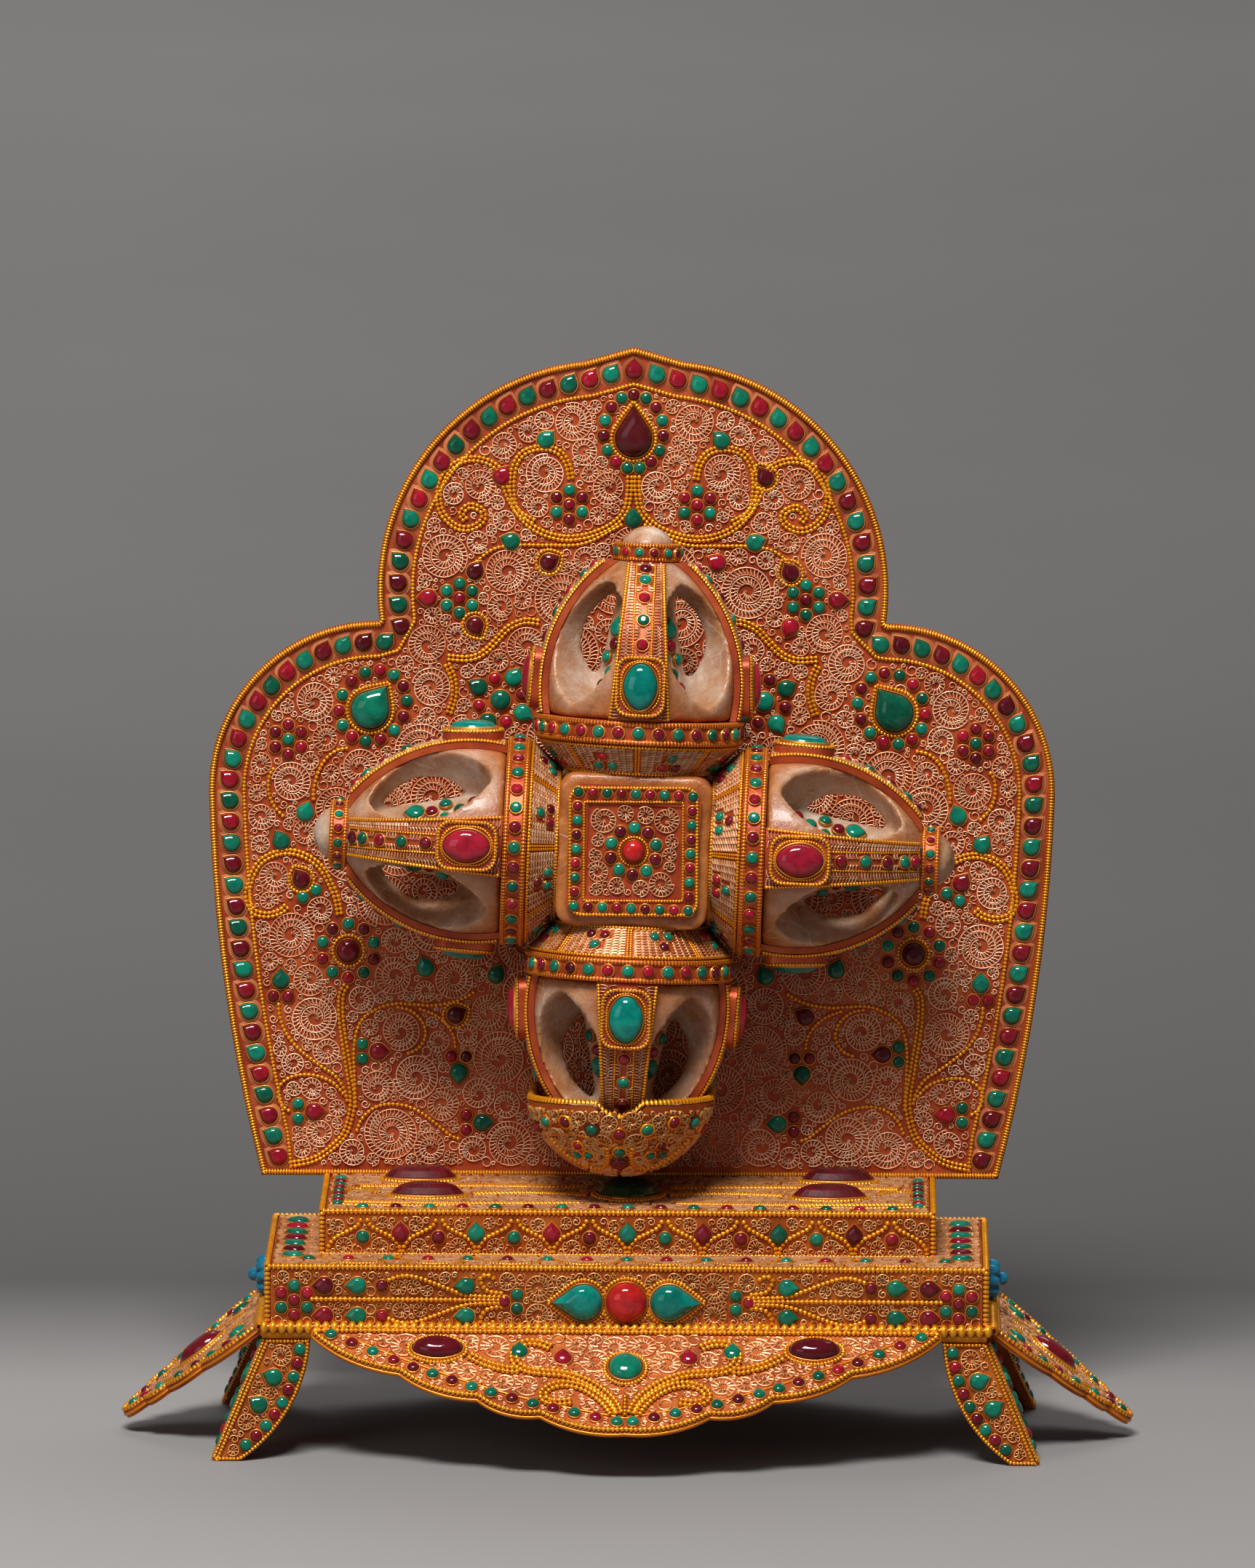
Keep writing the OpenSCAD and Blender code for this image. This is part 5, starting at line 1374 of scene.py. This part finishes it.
# Wire painted darker for the pieces that face up toward the key lamp: painted shade that holds down how
# bright the lamp makes them
painted_shade_wire = metal("filigree_painted_shade", [(0.20, 0.026, 0.003), (0.52, 0.16, 0.035), (0.76, 0.40, 0.19)],
                 FINE_ROUGH, 0.3, 45)
vajra_wire = metal("filigree_vajra", [(0.20, 0.026, 0.004), (0.64, 0.23, 0.075), (0.88, 0.56, 0.33)],
                   FINE_ROUGH, 0.3, 45)
low_wire = metal("filigree_low", [(0.24, 0.034, 0.003), (0.84, 0.30, 0.05), (1.0, 0.66, 0.30)],
                 FINE_ROUGH, 0.3, 45)
bezel = metal("bezel_copper", [(0.42, 0.12, 0.012), (0.62, 0.22, 0.03), (0.82, 0.36, 0.07)],
              (0.22, 0.38), 0.6, 60, (0.0, 0.5, 1.0))
gilt = metal("gilt", [(0.16, 0.026, 0.001), (0.80, 0.24, 0.003), (1.0, 0.45, 0.012)],
             GILT_ROUGH, 0.5, 70, (0.05, 0.5, 0.95))
gilt_bar = plain_metal("gilt_bar", [(0.42, 0.12, 0.004), (0.60, 0.20, 0.008), (0.85, 0.34, 0.02)],
                       GILT_ROUGH, 0.6, 70)
bronze = plain_metal("dark_bronze", [(0.05, 0.035, 0.02), (0.09, 0.065, 0.035), (0.16, 0.11, 0.06)],
                     (0.4, 0.6), 0.6, 80, 0.5)
green = stone_look("green_stone", (0.002, 0.075, 0.04), (0.003, 0.15, 0.085), (0.004, 0.21, 0.13))
red = stone_look("red_stone", (0.075, 0.003, 0.007), (0.18, 0.005, 0.013), (0.36, 0.006, 0.02))
garnet = stone_look("garnet", (0.06, 0.003, 0.005), (0.09, 0.004, 0.007), (0.13, 0.005, 0.009), (0.2, 0.36))
ruby = stone_look("big_red", (0.27, 0.008, 0.022), (0.34, 0.010, 0.026), (0.42, 0.012, 0.03))
teal = stone_look("big_green", (0.0, 0.14, 0.105), (0.0, 0.18, 0.14), (0.001, 0.22, 0.17))
coral = stone_look("coral", (0.45, 0.012, 0.012), (0.55, 0.016, 0.016), (0.62, 0.03, 0.025))
dark_green = stone_look("dark_green", (0.003, 0.02, 0.008), (0.006, 0.04, 0.014), (0.02, 0.07, 0.03))
turquoise = stone_look("turquoise", (0.004, 0.09, 0.16), (0.01, 0.16, 0.27), (0.05, 0.27, 0.36))
crystal = crystal_look()

# Stones and their bezels

# Rings of a round and of a faceted stone: share of the outline, moved out by, share of the height
DOME = [(1.0, 0, -0.12), (1.0, 0, 0.26), (0.95, 0, 0.5), (0.84, 0, 0.73), (0.67, 0, 0.89), (0.4, 0, 0.975)]
TABLE = [(1.0, 0, -0.12), (1.0, 0, 0.4), (0.82, 0, 0.78), (0.55, 0, 1.0)]
LOOKS = {"front_coral": (coral, "coral"), "hub_corals": (coral, "coral"),
         "oval_stones_green": (teal, "green_stone"), "oval_stones_red": (ruby, "red_stone"),
         "front_drops": (teal, "green_stone"), "shoulder_drops": (green, "green_stone"),
         "crest_drop": (garnet, "red_stone"), "top_green_gem": (dark_green, "dark_green"),
         "top_red_gems": (garnet, "red_stone")}
# Radius of the beads around the large stones of a node
BEAD_RINGS = {"crest_drop": 0.7, "shoulder_drops": 0.7, "front_drops": 0.7, "front_coral": 0.7,
              "top_green_gem": 0.75, "top_red_gems": 0.75, "apron_stones_red": 0.7, "apron_stones_green": 0.7,
              "plate_stones_red": 0.6}
FACETED = ("top_green_gem", "top_red_gems")
DARK_OVALS = ("apron_stones_red", "plate_stones_red")
# Radius from which a stone is large or has a wide bezel, and the dark skirt around a border drop
LARGE = 3.4
WIDE_FROM = 4
SKIRT = [(1, 1.2, 0.02), (1, 0.3, 0.2)]


# Thickness of the bezels, and the rings of beads around large stones: distance from the stone and pitch
CUP_BEZEL = 0.55
THIN_BEZEL = 0.3
WIDE_BEZEL = 0.5
RING_OFF = 1.15
RING_PITCH = 1.05


def set_bezel(piece, stone, thick, tone):
    """Thin wall around a stone."""
    wall = min(0.45 * stone.high, 1.6)
    rings = [(1, thick + 0.08, -0.2), (1, thick, 0.8 * wall), (1, 0.6 * thick, wall), (1, 0.02, 0.9 * wall)]
    stone.shell(piece, rings, tone)


def set_stones():
    """All stones in their bezels, the large ones with a ring of beads."""
    bezels = {"stand": Piece(), "vajra": Piece(), "cup": Piece()}
    for body, nodes in STONE_NODES.items():
        for node in nodes:
            plain = (green, "green_stone") if node.endswith("green") else (red, "red_stone")
            look, slot = LOOKS.get(node, plain)
            facet = node in FACETED
            cup = node.startswith("cup")
            piece = Piece()
            for s in stones[node]:
                tone = rng.random() * (0.4 if node in DARK_OVALS and s.r > LARGE else 1)
                rings = [(a, b, c * s.high if c > 0 else c) for a, b, c in (TABLE if facet else DOME)]
                s.shell(piece, rings, tone, s.high)
                if node.startswith("border"):
                    s.shell(stand.wire("border"), SKIRT, 0.1 + 0.2 * rng.random())
                thick = CUP_BEZEL if cup else THIN_BEZEL if s.r < WIDE_FROM else WIDE_BEZEL
                set_bezel(bezels["cup" if cup else body], s, thick, rng.random())
                if node in BEAD_RINGS and s.r > LARGE:
                    path = s.ring(1, RING_OFF, 0)
                    path = np.vstack([path, path[:1]])
                    beads(stand.beaded("rings"), path, s.up, BEAD_RINGS[node], RING_PITCH, ring=True)
            piece.make(f"stones_{node}", body, look.material, slot, (node,), smooth=not facet)
    for name, piece in bezels.items():
        look, slot = (gilt, "gilt") if name == "cup" else (bezel, "copper")
        piece.make(f"bezels_{name}", "vajra" if name == "vajra" else "stand", look.material, slot)


# Section of the carved flower, from its edge to its middle: shares of its radius and of its height
FLOWER = [(1.0, 0.0), (1.0, 0.32), (0.93, 0.52), (0.75, 0.64), (0.5, 0.6), (0.36, 0.52), (0.34, 0.78),
          (0.26, 0.94), (0.12, 1.0), (0.0, 1.0)]
FLOWER_RISE = 1.6


def flower_relief():
    """Carved flower with eight petals on each side of the lower tier, higher than its solid."""
    piece = Piece()
    low, high = box_of("side_flowers")
    wall = box_of("lower_tier")[1][0]
    r0 = (high[2] - low[2]) / 2
    deep = FLOWER_RISE * (high[0] - wall)
    a = np.radians(np.linspace(0, 360, 97))
    petal = np.abs(np.cos(4 * a))
    for s in (-1, 1):
        base = np.array([s * wall, (low[1] + high[1]) / 2, (low[2] + high[2]) / 2])
        rows = []
        for f, h in FLOWER:
            r = r0 * f * (1 - 0.16 * (1 - petal) * (f > 0.4))
            z = deep * h * (1 - 0.3 * (1 - petal) ** 2 * (f > 0.4) * (h > 0))
            rows.append(base + np.stack([s * z, s * r * np.cos(a), r * np.sin(a)], axis=1))
        rows = np.stack(rows)
        piece.add(rows, grid_faces(rows.shape[:2])[:, ::-1], 0.5)
    piece.make("flower_relief", "stand", turquoise.material, "turquoise", ("side_flowers",))


# Crystal

# How far the stain of the metal reaches: beside a strap, below it, from the band and from the neck band; its
# fade below the outer surface is painted light that makes the walls inside the windows lighter
STAIN_BESIDE = 3.5
PAINTED_LIGHT_DEPTH = 6.0
STAIN_BAND = 4.0
STAIN_NECK = 1.2


def stain_and_painted_light_of(head, co):
    """How strongly metal has stained each point of a head's crystal, less deep under the outer surface:
    painted light that makes the walls inside the windows lighter.
    """
    p = (co - head.o) @ head.m.T
    t = p[:, 2] - CAGE_AT
    lateral = np.minimum(np.abs(p[:, 0]), np.abs(p[:, 1]))
    half = strap_half(np.clip(t, 0, CAGE_L))
    outer = OGIVE_X + np.sqrt(np.maximum(OGIVE_R ** 2 - (t - OGIVE_Z) ** 2, 0))
    deep = np.maximum(outer - np.hypot(p[:, 0], p[:, 1]), 0)
    # the stain fades with depth below the outer surface: painted light on the walls inside the windows
    beside_strap = np.exp(-np.maximum(lateral - half, 0) / STAIN_BESIDE - deep / PAINTED_LIGHT_DEPTH) * (t < CAGE_L)
    ends = (np.exp(-np.maximum(t, 0) / STAIN_BAND)
            + 0.7 * np.exp(-np.abs(t - CAGE_L - NECK_L) / STAIN_NECK))
    return np.clip(0.85 * beside_strap + ends, 0, 1)


# Size of the cells from which the worn crystal is made
VOXEL = 1.1


def soften(node, name, head=None):
    """Copy of a crystal solid with its edges worn round; the hub, which has no head, is stained all over."""
    source = bpy.data.objects.new(name + "_source", frame["nodes"][node].data.copy())
    bpy.context.scene.collection.objects.link(source)
    remesh = source.modifiers.new("remesh", "REMESH")
    remesh.mode = "VOXEL"
    remesh.voxel_size = VOXEL * MM
    smooth = source.modifiers.new("smooth", "SMOOTH")
    smooth.factor = 0.5
    smooth.iterations = 6
    bpy.context.view_layer.update()
    mesh = bpy.data.meshes.new_from_object(source.evaluated_get(bpy.context.evaluated_depsgraph_get()))
    bpy.data.objects.remove(source)
    co = np.empty(len(mesh.vertices) * 3, np.float32)
    mesh.vertices.foreach_get("co", co)
    co = co.reshape(-1, 3) / MM
    stain = stain_and_painted_light_of(head, co) if head else np.full(len(co), 1.0)
    mesh.attributes.new("stain", "FLOAT", "POINT").data.foreach_set("value", stain)
    mesh.polygons.foreach_set("use_smooth", np.full(len(mesh.polygons), True))
    mesh.materials.clear()
    mesh.materials.append(crystal.material)
    mesh.name = name
    return settle(bpy.data.objects.new(name, mesh), "vajra", (node,))


set_stones()
flower_relief()
for name, head in heads.items():
    soften(f"crystal_head_{name}", f"worn_head_{name}", head)
soften("crystal_hub", "worn_hub")

for name in ("lower", "upper"):
    tier_edges(name).make(f"{name}_edge_beads", "stand", gilt.material, "gilt", (f"{name}_edge_wires",))
plinth_edges().make("plinth_beads", "stand", gilt.material, "gilt")
cup_rim(cup_origin, axes).make("cup_rim_beads", "stand", gilt.material, "gilt", ("cup_rim_wire",))
WIRE_LOOKS = dict.fromkeys(("lower_tier", "upper_tier", "legs", "cup"), low_wire)
# Up-facing pieces that the key lamp lights most take the wire painted darker, as painted shade
PAINTED_SHADE_PIECES = ("upper_top", "ledge", "front_apron", "rear_apron", "apron_sides", "collar_bottom")
WIRE_LOOKS.update(dict.fromkeys(PAINTED_SHADE_PIECES, painted_shade_wire))
for body, group in (("stand", stand), ("vajra", vajra)):
    for name, piece in group.gilt.items():
        nodes = ("plate_rim_wire", "plate_inner_wire") if name == "plate" else ()
        piece.make(f"beads_{name}", body, gilt.material, "gilt", nodes)
    for name, piece in group.fine.items():
        if piece.count:
            look = WIRE_LOOKS.get(name, vajra_wire if body == "vajra" else wire)
            piece.make(f"filigree_{name}", body, look.material, "copper")

GROUND_NODES = ["back_plate", "filigree_collars", "base_bands", "neck_bands", "rib_straps", "oval_settings",
                "hub_panels"]
WARM_NODES = ["lower_tier", "upper_tier", "front_apron", "rear_apron", "left_apron", "right_apron",
              "vajra_cup", "front_left_leg", "front_right_leg", "rear_left_leg", "rear_right_leg"]


def paint(node, look):
    """Gives a CAD piece that stays in view its material."""
    obj = frame["nodes"][node]
    obj.data.materials.clear()
    obj.data.materials.append(look.material)


for node in GROUND_NODES:
    paint(node, ground)
for node in WARM_NODES:
    paint(node, warm_ground)
paint("base_floor", bronze)
paint("plinth_frame", gilt_bar)


# Stage, light and camera

def stage_look(name):
    """Grey paper with painted shade and light: dark just behind the object, lighter before it and far away,
    and darker toward the right as painted shadow.
    """
    look = Look(name, Roughness=0.9)
    axes = look.nodes.new("ShaderNodeSeparateXYZ")
    look.links.new(look.place, axes.inputs[0])
    # painted shade and light by distance: a dark band just behind the object, lighter before it and far away
    shade = look.ramp(look.span(axes.outputs["Y"], "From", -0.2, 3.8),
                      [(0.0, (0.30, 0.285, 0.277)), (0.068, (0.27, 0.257, 0.25)),
                       (0.108, (0.085, 0.081, 0.079)), (0.35, (0.22, 0.21, 0.205)), (0.9, (0.8, 0.77, 0.75))])
    # painted shadow: the paper darker toward the right
    right_painted_shadow = look.ramp(look.span(axes.outputs["X"], "From", -0.25, 0.25), [(0.0, grey(1.0)), (1.0, grey(0.82))])
    grain = look.ramp(look.noise(3, 2), [(0.3, grey(0.96)), (0.7, grey(1.0))])
    return look.colour(look.mix(1.0, look.mix(1.0, shade, right_painted_shadow, "MULTIPLY"), grain, "MULTIPLY"))


def floor():
    """Wide sheet of paper; the camera looks down on it far enough to see nothing else."""
    piece = Piece()
    ticks = np.linspace(-7000, 7000, 15)
    rows = np.stack(np.meshgrid(ticks, ticks, [0.0], indexing="ij"), axis=-1)[:, :, 0]
    piece.add(rows, grid_faces(rows.shape[:2])[:, ::-1])
    obj = bpy.data.objects.new("floor", piece.mesh("floor", stage_look("grey_paper_painted_shade").material))
    bpy.context.scene.collection.objects.link(obj)


def aim(name, data, side, top, way, place):
    """Object for a lamp or a camera at a place, looking along way."""
    obj = bpy.data.objects.new(name, data)
    m = np.eye(4)
    m[:3] = np.stack([side, top, -way, place], axis=1)
    obj.matrix_world = Matrix(m.tolist())
    bpy.context.scene.collection.objects.link(obj)
    return obj


# Place, target and size of each lamp in metres, and its power
LAMPS = {"key": ((-0.22, -1.1, 1.85), (0, 0, 0.18), (0.8, 0.5), 54),
         "fill": ((-1.3, -1.7, 0.8), (0, 0, 0.17), (1.0, 1.0), 4),
         "rear": ((0.2, 0.9, 1.6), (0, 0, 0.1), (1.2, 0.6), 8),
         "far": ((0, 3.2, 3.0), (0, 3.2, 0), (3.0, 2.0), 9)}


def lamp(name, place, target, size, power):
    """Soft rectangular lamp."""
    data = bpy.data.lights.new(name, "AREA")
    data.shape = "RECTANGLE"
    data.size, data.size_y = size
    data.energy = power
    way = unit(np.asarray(target, float) - np.asarray(place, float))
    side = unit(np.cross(way, [0, 0.02, 1]))
    aim(name, data, side, np.cross(side, way), way, place)


# Width of the photo and focal length in its pixels, then the place of the camera
PHOTO_WIDE = 1725
FOCAL = 24504
AZIMUTH = math.radians(0.621)
ELEVATION = math.radians(9.285)
TILT = math.radians(0.237)
DISTANCE = 5245.5
TARGET = np.array([-0.746, 0, 194.5])


def camera():
    """Camera fitted to the photograph."""
    az, el = AZIMUTH, ELEVATION
    way = np.array([-math.sin(az) * math.cos(el), math.cos(az) * math.cos(el), -math.sin(el)])
    right = unit(np.cross(way, [0, 0, 1.0]))
    up = np.cross(right, way)
    side = right * math.cos(TILT) + up * math.sin(TILT)
    top = up * math.cos(TILT) - right * math.sin(TILT)
    data = bpy.data.cameras.new("camera")
    data.sensor_fit = "HORIZONTAL"
    data.sensor_width = 36
    data.lens = data.sensor_width * FOCAL / PHOTO_WIDE
    data.clip_end = 100
    bpy.context.scene.camera = aim("camera", data, side, top, way, (TARGET - DISTANCE * way) * MM)


WORLD_STRENGTH = 0.24


def world():
    """Dim grey surroundings."""
    w = bpy.data.worlds.new("studio")
    w.use_nodes = True
    back = w.node_tree.nodes["Background"]
    back.inputs["Color"].default_value = (*grey(0.5), 1)
    back.inputs["Strength"].default_value = WORLD_STRENGTH
    bpy.context.scene.world = w


floor()
camera()
world()
for name, values in LAMPS.items():
    lamp(name, *values)
bpy.context.scene.view_settings.view_transform = "Standard"
